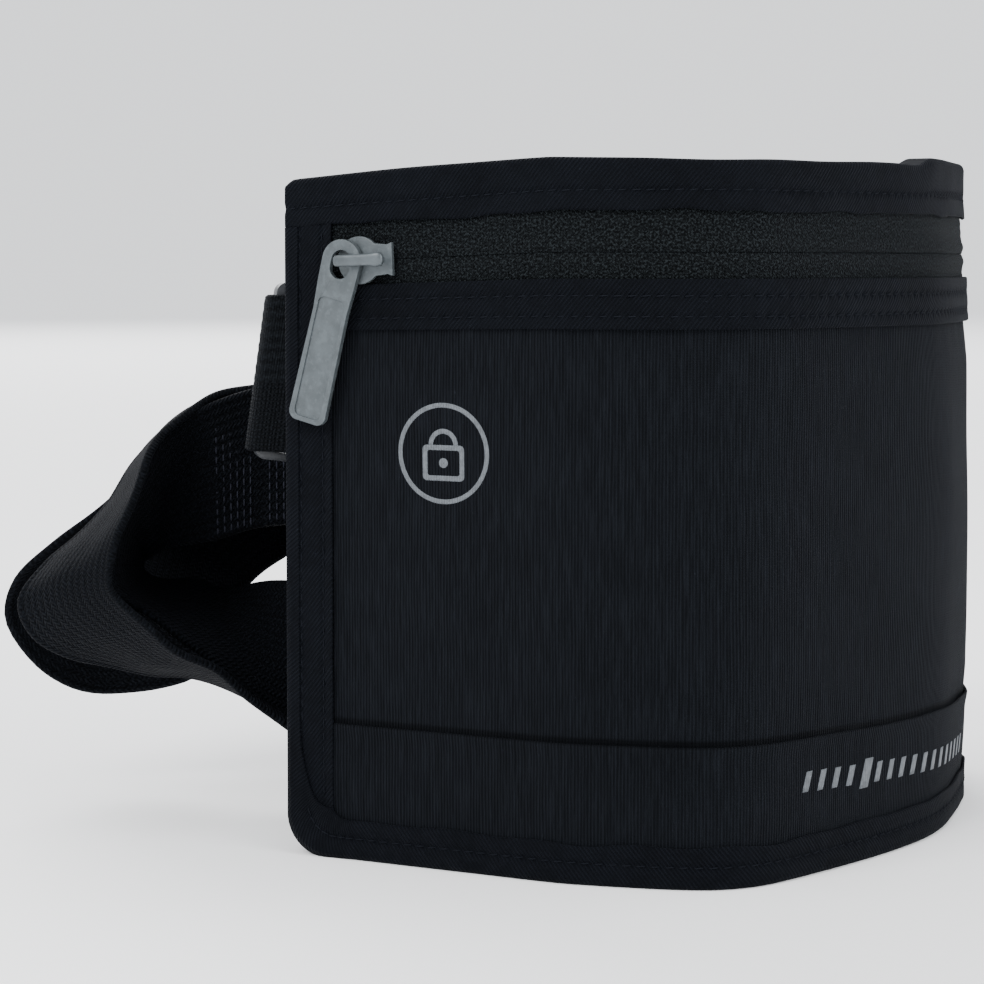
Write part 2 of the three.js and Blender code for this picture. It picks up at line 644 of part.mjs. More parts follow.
addPiece("strap_keeper", keeper(), 0x24252b);

// ---- place the part: centred over the ground, lowest point at zero --------
const box = new THREE.Box3().setFromObject(group);
const shift = new THREE.Vector3(
  -(box.min.x + box.max.x) / 2, -(box.min.y + box.max.y) / 2, -box.min.z);
for (const piece of group.children) piece.geometry.translate(shift.x, shift.y, shift.z);

export default group;
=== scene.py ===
"""Money belt: the finished look of each piece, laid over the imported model."""
import math

import bmesh
import bpy
import numpy as np
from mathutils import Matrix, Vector


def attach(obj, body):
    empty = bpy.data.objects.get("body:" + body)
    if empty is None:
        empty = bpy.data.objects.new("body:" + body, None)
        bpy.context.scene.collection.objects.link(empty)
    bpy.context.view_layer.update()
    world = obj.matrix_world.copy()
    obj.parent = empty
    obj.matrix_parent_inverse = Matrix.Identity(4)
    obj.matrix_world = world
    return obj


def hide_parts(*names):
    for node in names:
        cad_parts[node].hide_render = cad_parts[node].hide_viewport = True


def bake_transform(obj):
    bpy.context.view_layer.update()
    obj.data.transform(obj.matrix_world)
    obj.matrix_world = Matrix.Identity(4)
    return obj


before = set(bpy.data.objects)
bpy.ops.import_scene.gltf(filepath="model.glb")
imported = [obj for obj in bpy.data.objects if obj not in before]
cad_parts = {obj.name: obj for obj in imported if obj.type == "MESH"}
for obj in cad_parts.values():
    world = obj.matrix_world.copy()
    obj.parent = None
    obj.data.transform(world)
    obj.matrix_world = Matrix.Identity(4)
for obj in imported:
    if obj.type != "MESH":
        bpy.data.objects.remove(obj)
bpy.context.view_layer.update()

# ---- the shared frame ----
# Lengths below are in millimetres, in a frame whose x = 0 is straight ahead of the camera.
# place() moves them to the shared frame and turns them into metres.
SHIFT = np.array([1.408, -59.814, 0.0])


def place(p):
    return (np.asarray(p, float) + SHIFT) * 0.001


# ---- camera ----
LENS_PX = 2448.0
IMAGE_PX = 984.0
HORIZON_PX = 265.0
SENSOR_MM = 36.0
SHIFT_Y = -0.08
CAMERA_AT = (0, -448.6, 115.15)


def add_object(name, data):
    obj = bpy.data.objects.new(name, data)
    bpy.context.scene.collection.objects.link(obj)
    return obj


camera = add_object("camera", bpy.data.cameras.new("camera"))
camera.data.sensor_width = SENSOR_MM
pitch = math.atan((IMAGE_PX / 2 - HORIZON_PX + SHIFT_Y * IMAGE_PX) / LENS_PX)
camera.data.lens = LENS_PX * math.cos(pitch) * SENSOR_MM / IMAGE_PX
camera.data.shift_y = SHIFT_Y
camera.location = place(CAMERA_AT)
camera.rotation_euler = (math.pi / 2 - pitch, 0, 0)
bpy.context.scene.camera = camera

# ---- the pouch's curved sheet ----
# A place on the pouch is given by s (length round the front face from its left end), z (height)
# and d (depth behind the front face). PLAN lists runs along s with the turn of each in degrees.
HEIGHT = 135.0
LEFT_END = (-39.5, 25.2)
LEFT_HEADING = math.radians(-25)
PLAN = [(53, 0), (8, 10), (10, 6), (12, 11), (16, 32), (10, 8), (14, 3), (20, 7), (20, 18), (20, 3), (47, 42)]
LENGTH = float(sum(run for run, turn in PLAN))
CORNER = 14.0
SAG, SAG_LENGTH, SAG_FROM = 3.4, 55.0, 92.0  # the top edge sags towards the left end
CORE, TAPE = 6.4, 0.6  # thickness of the pouch and of a tape
REAR = CORE + TAPE
ZIP_Z = 117.5
HEM_Z, HEM_SHADE_Z = 26.5, 27.0  # the hem panel's upper edge, and the shade along its seam
FINE = 0.25
LEAN_HEIGHTS, LEAN_DEPTHS = (0, 12, 30, 95, 103, 128), (0.07, -0.25, -0.75, -0.25, 0.4, 1.6)
LEAN_REACH = 5.2


def plan_table():
    """Points and headings of the front face, closely spaced."""
    s = np.arange(0, LENGTH + FINE / 2, FINE)
    rate = np.zeros(len(s))
    start = 0.0
    for run, turn in PLAN:
        inside = (s >= start) & (s < start + run)
        rate[inside] = math.radians(turn) / run
        start += run
    heading = LEFT_HEADING + np.concatenate([[0], np.cumsum(rate[:-1]) * FINE])
    x = LEFT_END[0] + np.concatenate([[0], np.cumsum(np.cos(heading[:-1])) * FINE])
    y = LEFT_END[1] + np.concatenate([[0], np.cumsum(np.sin(heading[:-1])) * FINE])
    return s, x, y, heading


TABLE = plan_table()


def plan(s):
    """x, y and heading of the front face at s; it runs straight on past its ends."""
    s = np.asarray(s, float)
    inside = np.clip(s, 0, LENGTH)
    x, y, heading = (np.interp(inside, TABLE[0], column) for column in TABLE[1:])
    over = s - inside
    return x + over * np.cos(heading), y + over * np.sin(heading), heading


def unit(v):
    """Vectors scaled to length 1."""
    return v / np.linalg.norm(v, axis=-1, keepdims=True)


def distance_along(points):
    """Distance along a line up to each of its points."""
    return np.concatenate([[0], np.cumsum(np.linalg.norm(np.diff(points, axis=0), axis=1))])


def smooth_step(x, low, high):
    t = np.clip((x - low) / (high - low), 0, 1)
    return t * t * (3 - 2 * t)


def lean(s, z):
    """How far the front face leans in at the top right, and bulges out low down where it is nearest the viewer."""
    right = np.interp(z, LEAN_HEIGHTS, LEAN_DEPTHS) * smooth_step(s, 125, 165)
    bulge = -1.6 * np.exp(-((s - 88) / 13) ** 2) * np.clip(1 - z / 70, 0, 1)
    return right + bulge


def across_plan(s, d):
    """x and y at depth d behind the front face."""
    x, y, heading = plan(s)
    return x - d * np.sin(heading), y + d * np.cos(heading)


def facing(s):
    """The direction that the front face looks in at s."""
    heading = float(plan(s)[2])
    return np.array([math.sin(heading), -math.cos(heading), 0.0])


def wrap(s, z, d):
    """Places on the pouch (s, z, d in mm) as points in the shared frame (m)."""
    s, z, d = np.broadcast_arrays(*(np.asarray(v, float) for v in (s, z, d)))
    d = d + lean(s, z) * np.clip(1 - d / LEAN_REACH, 0, 1)
    along = np.clip(1 - s / SAG_LENGTH, 0, None)
    up = np.clip((z - SAG_FROM) / (HEIGHT - SAG_FROM), 0, 1)
    return place(np.stack([*across_plan(s, d), z - SAG * along * up], -1))


# ---- mesh helpers ----
CAP_CORNERS = 12  # a face with more corners than this is an end cap, with sharp edges


def new_piece(name, points, faces, uv=None):
    """A smooth-shaded object; uv holds each point's place on the flat cloth (m)."""
    mesh = bpy.data.meshes.new(name)
    mesh.from_pydata(np.asarray(points).reshape(-1, 3).tolist(), [], [list(map(int, f)) for f in faces])
    if uv is not None:
        layer = mesh.uv_layers.new(name="flat")
        loops = np.zeros(len(mesh.loops), np.int32)
        mesh.loops.foreach_get("vertex_index", loops)
        layer.data.foreach_set("uv", np.asarray(uv, np.float32).reshape(-1, 2)[loops].ravel())
    bm = bmesh.new()
    bm.from_mesh(mesh)
    bmesh.ops.recalc_face_normals(bm, faces=bm.faces)
    for face in bm.faces:
        if len(face.verts) > CAP_CORNERS:
            for edge in face.edges:
                edge.smooth = False
    bm.to_mesh(mesh)
    bm.free()
    mesh.polygons.foreach_set("use_smooth", [True] * len(mesh.polygons))
    return add_object(name, mesh)


def ring_faces(rows, columns):
    """Quads between rings of points that follow each other."""
    return [(i * columns + j, i * columns + k, (i + 1) * columns + k, (i + 1) * columns + j)
            for i in range(rows - 1) for j, k in zip(range(columns), [*range(1, columns), 0])]


def caps(rows, columns):
    """The two end faces of a row of rings."""
    return [tuple(range(columns)), tuple(range((rows - 1) * columns, rows * columns))[::-1]]


def tube(name, rings, uv=None):
    """A closed body from rings of points: rings has shape (stations, around, 3)."""
    size = rings.shape[:2]
    return new_piece(name, rings, ring_faces(*size) + caps(*size), uv)


def waves(u, v, count, low, high, seed):
    """A smooth random field made of a few sine waves; u and v in mm, result about -1 to 1."""
    draw = np.random.default_rng(seed)
    total = np.zeros(np.broadcast(u, v).shape)
    for _ in range(count):
        length = draw.uniform(low, high)
        angle = draw.uniform(0, math.pi)
        phase = draw.uniform(0, 2 * math.pi)
        total += np.sin((u * math.cos(angle) + v * math.sin(angle)) * 2 * math.pi / length + phase)
    return total / math.sqrt(count / 2) / 1.6


def slab_ring(low, high, thick, across):
    """Ring of (z, d) points round a thin slab between two heights, its edges rounded."""
    r = thick / 2
    front = np.linspace(low, high, across)
    turn = np.linspace(-math.pi / 2, math.pi / 2, 6)[1:-1]
    top = [(high - r + r * math.cos(t), r + r * math.sin(t)) for t in turn]
    bottom = [(low + r - r * math.cos(t), r - r * math.sin(t)) for t in turn]
    front[0], front[-1] = low + r, high - r
    ring = [(z, 0.0) for z in front] + top + [(z, thick) for z in front[::-1]] + bottom
    return np.array(ring)


def cloth_layer(name, s_range, low, high, depth, thick, relief, step, across, sink=None):
    """A cloth piece on the curved sheet; low(s) and high(s) are its edges' heights.

    sink(s) is how far the seam shade painted by its material lies below its usual height.
    """
    s = np.arange(s_range[0], s_range[1] + step / 2, step)
    s[-1] = s_range[1]
    rings, uvs = [], []
    for at in s:
        ring = slab_ring(low(at), high(at), thick, across)
        z, d = ring[:, 0], ring[:, 1] + depth
        here = np.full_like(z, at)
        rings.append(wrap(here, z, d + relief(here, z)))
        uvs.append(np.stack([here, z if sink is None else z + sink(at)], -1) * 0.001)
    return tube(name, np.array(rings), np.array(uvs))


def corner_low(s, inset):
    """The height of the pouch's bottom edge at s, round its lower corners, at an inset from the edge."""
    r = CORNER - inset
    near = min(max(min(s - inset, LENGTH - inset - s), 0.0), r)
    return inset + r - math.sqrt(r * r - (r - near) ** 2)


# ---- materials ----
SHEEN_TINT = (0.75, 0.8, 1.0, 1.0)
CLOTH_SPECULAR = 0.035


class Graph:
    """A material's node graph with short calls for the nodes used here."""

    def __init__(self, name, roughness, metallic=0.0):
        self.material = bpy.data.materials.new(name)
        self.material.use_nodes = True
        self.tree = self.material.node_tree
        self.shader = self.tree.nodes["Principled BSDF"]
        self.shader.inputs["Metallic"].default_value = metallic
        self.roughness = roughness

    def feed(self, sockets, values):
        """Set numbers and colours on the sockets themselves, and link the rest."""
        for name, value in values.items():
            socket = sockets[name]
            if isinstance(value, bpy.types.NodeSocket):
                self.tree.links.new(value, socket)
            elif isinstance(value, tuple) and len(value) < len(socket.default_value):
                socket.default_value = (*value, 1.0)
            else:
                socket.default_value = value

    def node(self, kind, **inputs):
        """A new node; the names of its inputs have _ for a space."""
        node = self.tree.nodes.new("ShaderNode" + kind)
        self.feed(node.inputs, {name.replace("_", " "): value for name, value in inputs.items()})
        return node

    def calc(self, operation, *values):
        node = self.node("Math")
        node.operation = operation
        self.feed(node.inputs, dict(enumerate(values)))
        return node.outputs[0]

    def flat_uv(self):
        node = self.node("UVMap")
        node.uv_map = "flat"
        return node.outputs["UV"]

    def uv_mm(self):
        """The piece's flat coordinates in millimetres."""
        split = self.node("SeparateXYZ", Vector=self.flat_uv())
        return [self.calc("MULTIPLY", split.outputs[k], 1000.0) for k in (0, 1)]

    def uv_vector(self, scale=(1000.0, 1000.0, 0.0)):
        return self.node("Mapping", Vector=self.flat_uv(), Scale=scale).outputs[0]

    def object_vector(self):
        """The piece's own coordinates in millimetres."""
        own = self.node("TexCoord").outputs["Object"]
        return self.node("Mapping", Vector=own, Scale=(1000.0,) * 3).outputs[0]

    def noise(self, vector, scale, detail=3.0, rough=0.55):
        return self.node("TexNoise", Vector=vector, Scale=scale, Detail=detail, Roughness=rough).outputs["Fac"]

    def ramp(self, value, low, high, out_low=0.0, out_high=1.0):
        node = self.node("MapRange", Value=value, From_Min=low, From_Max=high, To_Min=out_low, To_Max=out_high)
        node.interpolation_type = "SMOOTHSTEP"
        return node.outputs[0]

    def stripes(self, coordinate, pitch):
        """A smooth 0 to 1 wave that repeats every pitch."""
        wave = self.calc("SINE", self.calc("MULTIPLY", coordinate, 2 * math.pi / pitch))
        return self.calc("MULTIPLY_ADD", wave, 0.5, 0.5)

    def mix(self, share, a, b):
        node = self.node("Mix")
        node.data_type = "RGBA"
        self.feed(node.inputs, {"Factor": share, "A": a, "B": b})
        return node.outputs["Result"]

    def finish(self, colour, height, depth_mm, sheen=0.0, specular=None):
        """Wire up the shader; height makes a bump of up to depth_mm."""
        bump = self.node("Bump", Strength=1.0, Distance=depth_mm * 0.001, Height=height)
        values = {"Base Color": colour, "Roughness": self.roughness, "Normal": bump.outputs[0]}
        if sheen:
            values.update({"Sheen Weight": sheen, "Sheen Roughness": 0.45, "Sheen Tint": SHEEN_TINT})
        if specular is not None:
            values["Specular IOR Level"] = specular
        self.feed(self.shader.inputs, values)
        return self.material


def scaled(colour, factor):
    """The colour, lighter or darker."""
    return tuple(min(1.0, c * factor) for c in colour)


def cloth(name, colour, weave, depth_mm, roughness=0.85, sheen=0.012, painted_weave_shade=0.5, mottle=0.22,
          speckle=0.0, streak=0.0, seams=()):
    """A cloth whose weave, a function and its sizes, gives 0 in the gaps and 1 on the threads; painted_weave_shade
    paints shade into the gaps and a highlight onto the threads.

    speckle adds a grain, streak makes some upright threads lighter than others, and seams are heights (mm)
    along which painted shade darkens the cloth, standing in for the shadow in a seam's groove.
    """
    g = Graph(name, roughness)
    u, v = g.uv_mm()
    height = weave[0](g, u, v, *weave[1:])
    flat = g.uv_vector()
    patch = g.noise(flat, 0.06, 4.0)
    fine = g.noise(flat, 1.9, 2.0)
    # Painted shade and highlight: the colour follows the weave's height, darker in the gaps and lighter on the
    # threads, standing in for light and shade on the weave.
    woven = g.mix(height, scaled(colour, 1 - painted_weave_shade), scaled(colour, 1 + painted_weave_shade))
    uneven = g.ramp(g.calc("MULTIPLY_ADD", fine, 0.45, g.calc("MULTIPLY", patch, 0.55)), 0.3, 0.7)
    toned = g.mix(uneven, scaled(colour, 1 - mottle), scaled(colour, 1 + mottle))
    shade = g.mix(0.5, woven, toned)

    def tint(value, low, high, share, factor):
        return g.mix(g.ramp(value, low, high, 0.0, share), shade, scaled(colour, factor))

    if streak:
        threads = g.noise(g.uv_vector((1700.0, 110.0, 0.0)), 1.0, 3.0, 0.65)
        shade = tint(threads, 0.48, 0.68, streak, 2.3)
        shade = tint(threads, 0.52, 0.34, streak, 0.3)
    if speckle:
        grain = g.noise(flat, 2.1, 2.0, 0.7)
        shade = tint(grain, 0.52, 0.60, speckle, 3.8)
        shade = tint(grain, 0.48, 0.38, speckle, 0.25)
    # Painted shade: within 1 mm of each seam height the colour is blended up to three quarters of the way to a
    # fifth of the cloth's colour, standing in for the shadow in the seam's groove.
    for seam in seams:
        shade = tint(g.calc("ABSOLUTE", g.calc("SUBTRACT", v, seam)), 1.0, 0.25, 0.75, 0.2)
    specks = g.ramp(g.noise(flat, 1.1, 1.0), 0.75, 0.81)
    final = g.mix(g.calc("MULTIPLY", specks, 0.3), shade, scaled(colour, 5.0))
    relief = g.calc("MULTIPLY_ADD", fine, 0.35 + speckle, height)
    return g.finish(final, relief, depth_mm, sheen, CLOTH_SPECULAR)


def weave_rib(g, u, v, pitch):
    """Fine upright ribs, a little uneven, crossed by thin threads."""
    sway = g.noise(g.uv_vector((300.0, 60.0, 0.0)), 1.0, 2.0)
    rib = g.stripes(g.calc("MULTIPLY_ADD", sway, 0.5, u), pitch)
    cross = g.stripes(v, pitch * 0.8)
    return g.calc("MULTIPLY_ADD", cross, 0.1, g.calc("MULTIPLY", rib, 0.9))


def weave_twill(g, u, v, pitch):
    """Slanting cords of a bias tape."""
    cord = g.stripes(g.calc("MULTIPLY_ADD", v, -0.8, u), pitch)
    across = g.stripes(g.calc("ADD", u, v), pitch * 0.62)
    uneven = g.noise(g.uv_vector(), 0.35, 3.0)
    woven = g.calc("MULTIPLY_ADD", across, 0.25, g.calc("MULTIPLY", cord, 0.75))
    return g.calc("MULTIPLY", woven, g.ramp(uneven, 0.35, 0.65, 0.45, 1.15))


def weave_knit(g, u, v, pitch):
    """Columns of small chevrons, as on a zip's tape."""
    column = g.calc("PINGPONG", u, pitch / 2)
    chevron = g.stripes(g.calc("ADD", v, column), pitch * 0.55)
    return g.calc("MULTIPLY_ADD", g.stripes(u, pitch / 2), 0.35, g.calc("MULTIPLY", chevron, 0.65))


def weave_webbing(g, u, v, rib, thread):
    """Lengthwise ribs, each one a row of small cross threads."""
    slant = g.calc("MULTIPLY_ADD", g.calc("PINGPONG", u, rib / 2), 0.9, v)
    return g.calc("MULTIPLY_ADD", g.stripes(slant, thread), 0.55, g.calc("MULTIPLY", g.stripes(u, rib), 0.45))


def weave_elastic(g, u, v, rib, split):
    """Crosswise ribs above split (mm) and a finer dotted mesh below it."""
    ribs = g.calc("MULTIPLY_ADD", g.stripes(u, 0.5), 0.25, g.calc("MULTIPLY", g.stripes(v, rib), 0.75))
    dots = g.calc("MULTIPLY", g.stripes(u, 0.75), g.stripes(v, 0.75))
    share = g.ramp(v, split - 1, split + 1)
    return g.calc("MULTIPLY_ADD", ribs, share, g.calc("MULTIPLY", dots, g.calc("SUBTRACT", 1.0, share)))


def plastic(name, colour, roughness=0.42):
    """Moulded plastic with a fine spark-eroded grain and faint scuffs."""
    g = Graph(name, roughness)
    at = g.object_vector()
    grain = g.noise(at, 2.6, 3.0, 0.6)
    scuff = g.ramp(g.noise(at, 0.22, 5.0, 0.65), 0.52, 0.7)
    shade = g.mix(g.calc("MULTIPLY", scuff, 0.35), colour, scaled(colour, 1.9))
    g.roughness = g.ramp(grain, 0.3, 0.7, roughness - 0.07, roughness + 0.12)
    return g.finish(shade, grain, 0.035)


def painted(name, colour):
    """Satin painted metal, the paint rubbed a little brighter in patches."""
    g = Graph(name, 0.4, 0.35)
    at = g.object_vector()
    orange = g.noise(at, 1.6, 2.0)
    worn = g.ramp(g.noise(at, 0.9, 4.0), 0.5, 0.66, 0.0, 0.6)
    shade = g.mix(g.ramp(g.noise(at, 0.35, 4.0), 0.35, 0.7), scaled(colour, 0.85), scaled(colour, 1.15))
    final = g.mix(worn, shade, scaled(colour, 1.35))
    g.roughness = g.ramp(orange, 0.3, 0.7, 0.34, 0.5)
    return g.finish(final, orange, 0.03)


def thread(name, colour):
    """Twisted sewing thread."""
    g = Graph(name, 0.7)
    at = g.object_vector()
    twist = g.noise(at, 3.2, 2.0)
    shade = g.mix(twist, scaled(colour, 0.7), scaled(colour, 1.5))
    return g.finish(shade, twist, 0.05, specular=CLOTH_SPECULAR)


def ink(name, colour):
    """Rubbery print, thin enough to show the cloth's ribs and a little worn."""
    g = Graph(name, 0.6)
    flat = g.uv_vector()
    rib = g.stripes(g.uv_mm()[0], 0.545)
    worn = g.ramp(g.noise(flat, 0.8, 5.0, 0.7), 0.35, 0.65)
    cover = g.calc("MULTIPLY_ADD", worn, 0.6, g.calc("MULTIPLY", rib, 0.4))
    shade = g.mix(cover, scaled(colour, 0.55), scaled(colour, 1.15))
    return g.finish(shade, rib, 0.06)


ELASTIC_RIB, ELASTIC_SPLIT = 2.1, 92.0
NAVY = (0.0042, 0.0050, 0.0066)
M_FRONT = cloth("ribbed_cloth", scaled(NAVY, 0.92), (weave_rib, 0.62), 0.30, painted_weave_shade=0.85, streak=0.34,
                # seams paints shade along the hem seam at HEM_SHADE_Z.
                seams=(HEM_SHADE_Z,))
M_BACK = cloth("back_cloth", scaled(NAVY, 0.9), (weave_rib, 0.7), 0.22, painted_weave_shade=0.75, streak=0.2)
M_TAPE = cloth("twill_tape", (0.0027, 0.0033, 0.0048), (weave_twill, 0.86), 0.25, 0.8, painted_weave_shade=0.88, mottle=0.4)
M_ZIP = cloth("knit_tape", (0.0038, 0.0047, 0.0052), (weave_knit, 1.15), 0.42, 0.8, painted_weave_shade=0.95, speckle=1.0)
M_WEBBING = cloth("webbing", (0.0018, 0.0022, 0.0030), (weave_webbing, 2.0, 0.95), 0.48, 0.8, painted_weave_shade=0.95,
                  speckle=0.55)
M_ELASTIC = cloth("elastic", (0.0028, 0.0034, 0.0043), (weave_elastic, ELASTIC_RIB, ELASTIC_SPLIT), 0.34, 0.75,
                  painted_weave_shade=0.95, speckle=0.35)
M_KEEPER = cloth("keeper_elastic", (0.0036, 0.0042, 0.0058), (weave_rib, 1.0), 0.18)
M_LINING = cloth("foil_lining", (0.30, 0.31, 0.33), (weave_rib, 0.8), 0.06, 0.45, 0.1)
M_PAD = cloth("pad_mesh", (0.02, 0.021, 0.025), (weave_elastic, 1.2, 500.0), 0.2)
M_THREAD = thread("sewing_thread", (0.0048, 0.0056, 0.0078))
M_LIGHT_THREAD = thread("bar_tack_thread", (0.014, 0.015, 0.021))
M_PLASTIC = plastic("buckle_plastic", (0.020, 0.022, 0.026))
M_COIL = plastic("coil_nylon", (0.006, 0.006, 0.008), 0.5)
M_METAL = painted("slider_paint", (0.058, 0.069, 0.075))
M_INK = ink("print_ink", (0.080, 0.090, 0.102))


def paint(mesh, material):
    mesh.materials.clear()
    mesh.materials.append(material)


def dress(obj, material, body, slot, *nodes):
    """Give a piece its material and body, and hide the CAD nodes it stands for; slot is not used."""
    paint(obj.data, material)
    if nodes:
        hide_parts(*nodes)
    if body:
        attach(obj, body)


def cloth_piece(obj, material, slot, flat, held, *nodes):
    """Dress a sheet of the pouch; flat, its flat width and length in metres, is not used."""
    dress(obj, material, "pouch", slot, *nodes)


# ---- pouch cloth ----
WELT = (103.4, 112.7)
INSET, SIDE_EDGE = 1.2, 9.7  # how far in the cloth starts, and where the side tape ends
CLOTH_S = (INSET, LENGTH - INSET)
STITCH_PITCH = 2.6
FRONT_D, HEM_D = 0.3, 0.1


def from_ends(s, inset, reach):
    """0 near both ends of the pouch, rising to 1 over reach."""
    return np.clip(np.minimum(s - inset, LENGTH - inset - s) / reach, 0, 1)


def hem_sink(s):
    """The hem seam runs lower towards the right end."""
    return 0.9 * smooth_step(s, 100, 145) + 0.9 * smooth_step(s, 148, 172) + 1.6 * smooth_step(s, 172, 200)


def front_relief(s, z):
    """The front panel stands a little proud between its seams, with soft unevenness."""
    up = np.clip((z - HEM_SHADE_Z) / (WELT[0] - HEM_SHADE_Z), 0, 1)
    side = from_ends(s, 9, 12)
    proud = np.sin(math.pi * up) ** 0.6 * side
    pucker = np.exp(-((z - WELT[0]) / 5) ** 2) + np.exp(-((z - HEM_SHADE_Z) / 4) ** 2)
    return (-0.45 * proud + 0.22 * waves(s, z, 9, 24, 70, 3) * side
            + 0.10 * pucker * waves(s, z * 0.2, 5, 5, 11, 4))


cloth_piece(cloth_layer("front_cloth", CLOTH_S, lambda s: HEM_Z - hem_sink(s) - 1.5, lambda s: 108.0,
                        FRONT_D, 0.55, front_relief, 1.0, 70, hem_sink),
            M_FRONT, "shell_cloth", (0.228, 0.083), "stretched", "front_panel")


def hem_relief(s, z):
    """The hem panel's upper edge is folded over and laps the front panel."""
    lap = np.exp(-((z + hem_sink(s) - HEM_Z) / 2.2) ** 2) * from_ends(s, 9, 4)
    return -0.55 * lap + 0.12 * waves(s, z, 6, 12, 40, 5) - 0.25 * np.sin(math.pi * np.clip((z - 7) / 19, 0, 1))


cloth_piece(cloth_layer("hem_cloth", CLOTH_S, lambda s: corner_low(s, INSET), lambda s: HEM_Z - hem_sink(s),
                        HEM_D, 0.6, hem_relief, 1.0, 30, hem_sink),
            M_FRONT, "shell_cloth", (0.228, 0.026), "stretched", "front_hem_panel")


def back_relief(s, z):
    """The back swells over its pad."""
    pad = from_ends(s, 9, 15) * np.clip(np.minimum(z - 9, 126 - z) / 15, 0, 1)
    return 0.7 * pad ** 0.5 + 0.25 * waves(s, z, 9, 18, 60, 6) * pad


cloth_piece(cloth_layer("back_cloth", CLOTH_S, lambda s: corner_low(s, INSET), lambda s: HEIGHT - INSET,
                        5.5, 0.6, back_relief, 1.4, 80),
            M_BACK, "back_cloth", (0.228, 0.134), "stretched", "back_panel")

# ---- edge tapes ----
EDGE_WIDTH, TOP_WIDTH, FOLD = 9.4, 9.9, 1.1


def folded_ring(width, legs=26):
    """Ring of (inward, depth) points of a tape folded over an edge, its fold rounded."""
    r = FOLD
    quarter = np.linspace(0, math.pi / 2, 7)
    front = [(a, -TAPE) for a in np.linspace(width - 0.25, r, legs)]
    fold_a = [(r - r * math.sin(t), -TAPE + r - r * math.cos(t)) for t in quarter[1:]]
    web = [(0.0, d) for d in np.linspace(-TAPE + r, REAR - r, 5)[1:-1]]
    fold_b = [(r - r * math.cos(t), REAR - r + r * math.sin(t)) for t in quarter]
    rear = [(a, REAR) for a in np.linspace(r, width - 0.25, legs)[1:]]
    rear_edge = [(width, CORE + TAPE * 0.7), (width, CORE + 0.1)]
    inner = [(width - 0.3, CORE), (r, CORE), (0.7, CORE - 1.2), (0.7, 1.2), (r, 0.0), (width - 0.3, 0.0)]
    front_edge = [(width, -0.1), (width, -TAPE * 0.7)]
    return np.array(front + fold_a + web + fold_b + rear + rear_edge + inner + front_edge)


CORNER_OUTER = 8.5


def corner_rows(count=20):
    """The tape round a lower corner: a tight outer bend and a rounder inner edge, joined point by point."""
    straight = CORNER - CORNER_OUTER
    bend = CORNER_OUTER * math.pi / 2
    total = 2 * straight + bend
    inner_radius = CORNER - EDGE_WIDTH
    rows = []
    for share in np.linspace(0, 1, count):
        run = share * total
        if run < straight:
            s, z = 0.0, CORNER - run
        elif run < straight + bend:
            t = (run - straight) / CORNER_OUTER
            s, z = CORNER_OUTER * (1 - math.cos(t)), CORNER_OUTER * (1 - math.sin(t))
        else:
            s, z = CORNER_OUTER + run - straight - bend, 0.0
        t = share * math.pi / 2
        inner = (CORNER - inner_radius * math.cos(t), CORNER - inner_radius * math.sin(t))
        rows.append((s, z, (inner[0] - s) / EDGE_WIDTH, (inner[1] - z) / EDGE_WIDTH))
    return rows


def edge_path(step=1.3):
    """Points along the pouch's left, bottom and right edges: s, z and the inward direction."""
    top = HEIGHT - TOP_WIDTH - 0.05
    rows = [(0.0, z, 1.0, 0.0) for z in np.arange(top, CORNER + 0.4, -step)]
    rows += corner_rows()
    rows += [(s, 0.0, 0.0, 1.0) for s in np.arange(CORNER + step, LENGTH - CORNER - 0.4, step)]
    rows += [(LENGTH - s, z, -ins, inz) for s, z, ins, inz in corner_rows()[::-1]]
    rows += [(LENGTH, z, -1.0, 0.0) for z in np.arange(CORNER + step, top, step)]
    rows.append((LENGTH, top, -1.0, 0.0))
    return np.array(rows)


def top_path(step=1.3):
    """Points along the top edge, closer together near its ends."""
    s = np.concatenate([[0, 0.3, 0.7], np.arange(step, LENGTH - 1.2, step), [LENGTH - 0.7, LENGTH - 0.3, LENGTH]])
    return np.stack([s, np.full_like(s, HEIGHT), np.zeros_like(s), np.full_like(s, -1.0)], -1)


def pinch(along, a, seams, reach=0.75, groove=0.12, deep=0.32):
    """How far stitching pulls a tape in: a groove along each seam, deepest at the needle holes."""
    hole = 0.5 + 0.5 * np.cos(2 * math.pi * along / STITCH_PITCH)
    return sum(np.exp(-((a - seam) / reach) ** 2) * (groove + deep * hole ** 2) for seam in seams)


def top_bump(s):
    """The top tape stands up a little where the pouch turns away on the right, and dips before that."""
    bump = 1.5 * smooth_step(s, 143, 151) * (1 - smooth_step(s, 192, 208))
    swell = ((0.45, 28, 14), (-0.8, 86, 12), (-0.25, 112, 14))
    dips = sum(size * np.exp(-((s - middle) / reach) ** 2) for size, middle, reach in swell)
    return bump + dips + 0.2 * waves(s, 0.0, 5, 16, 45, 61)


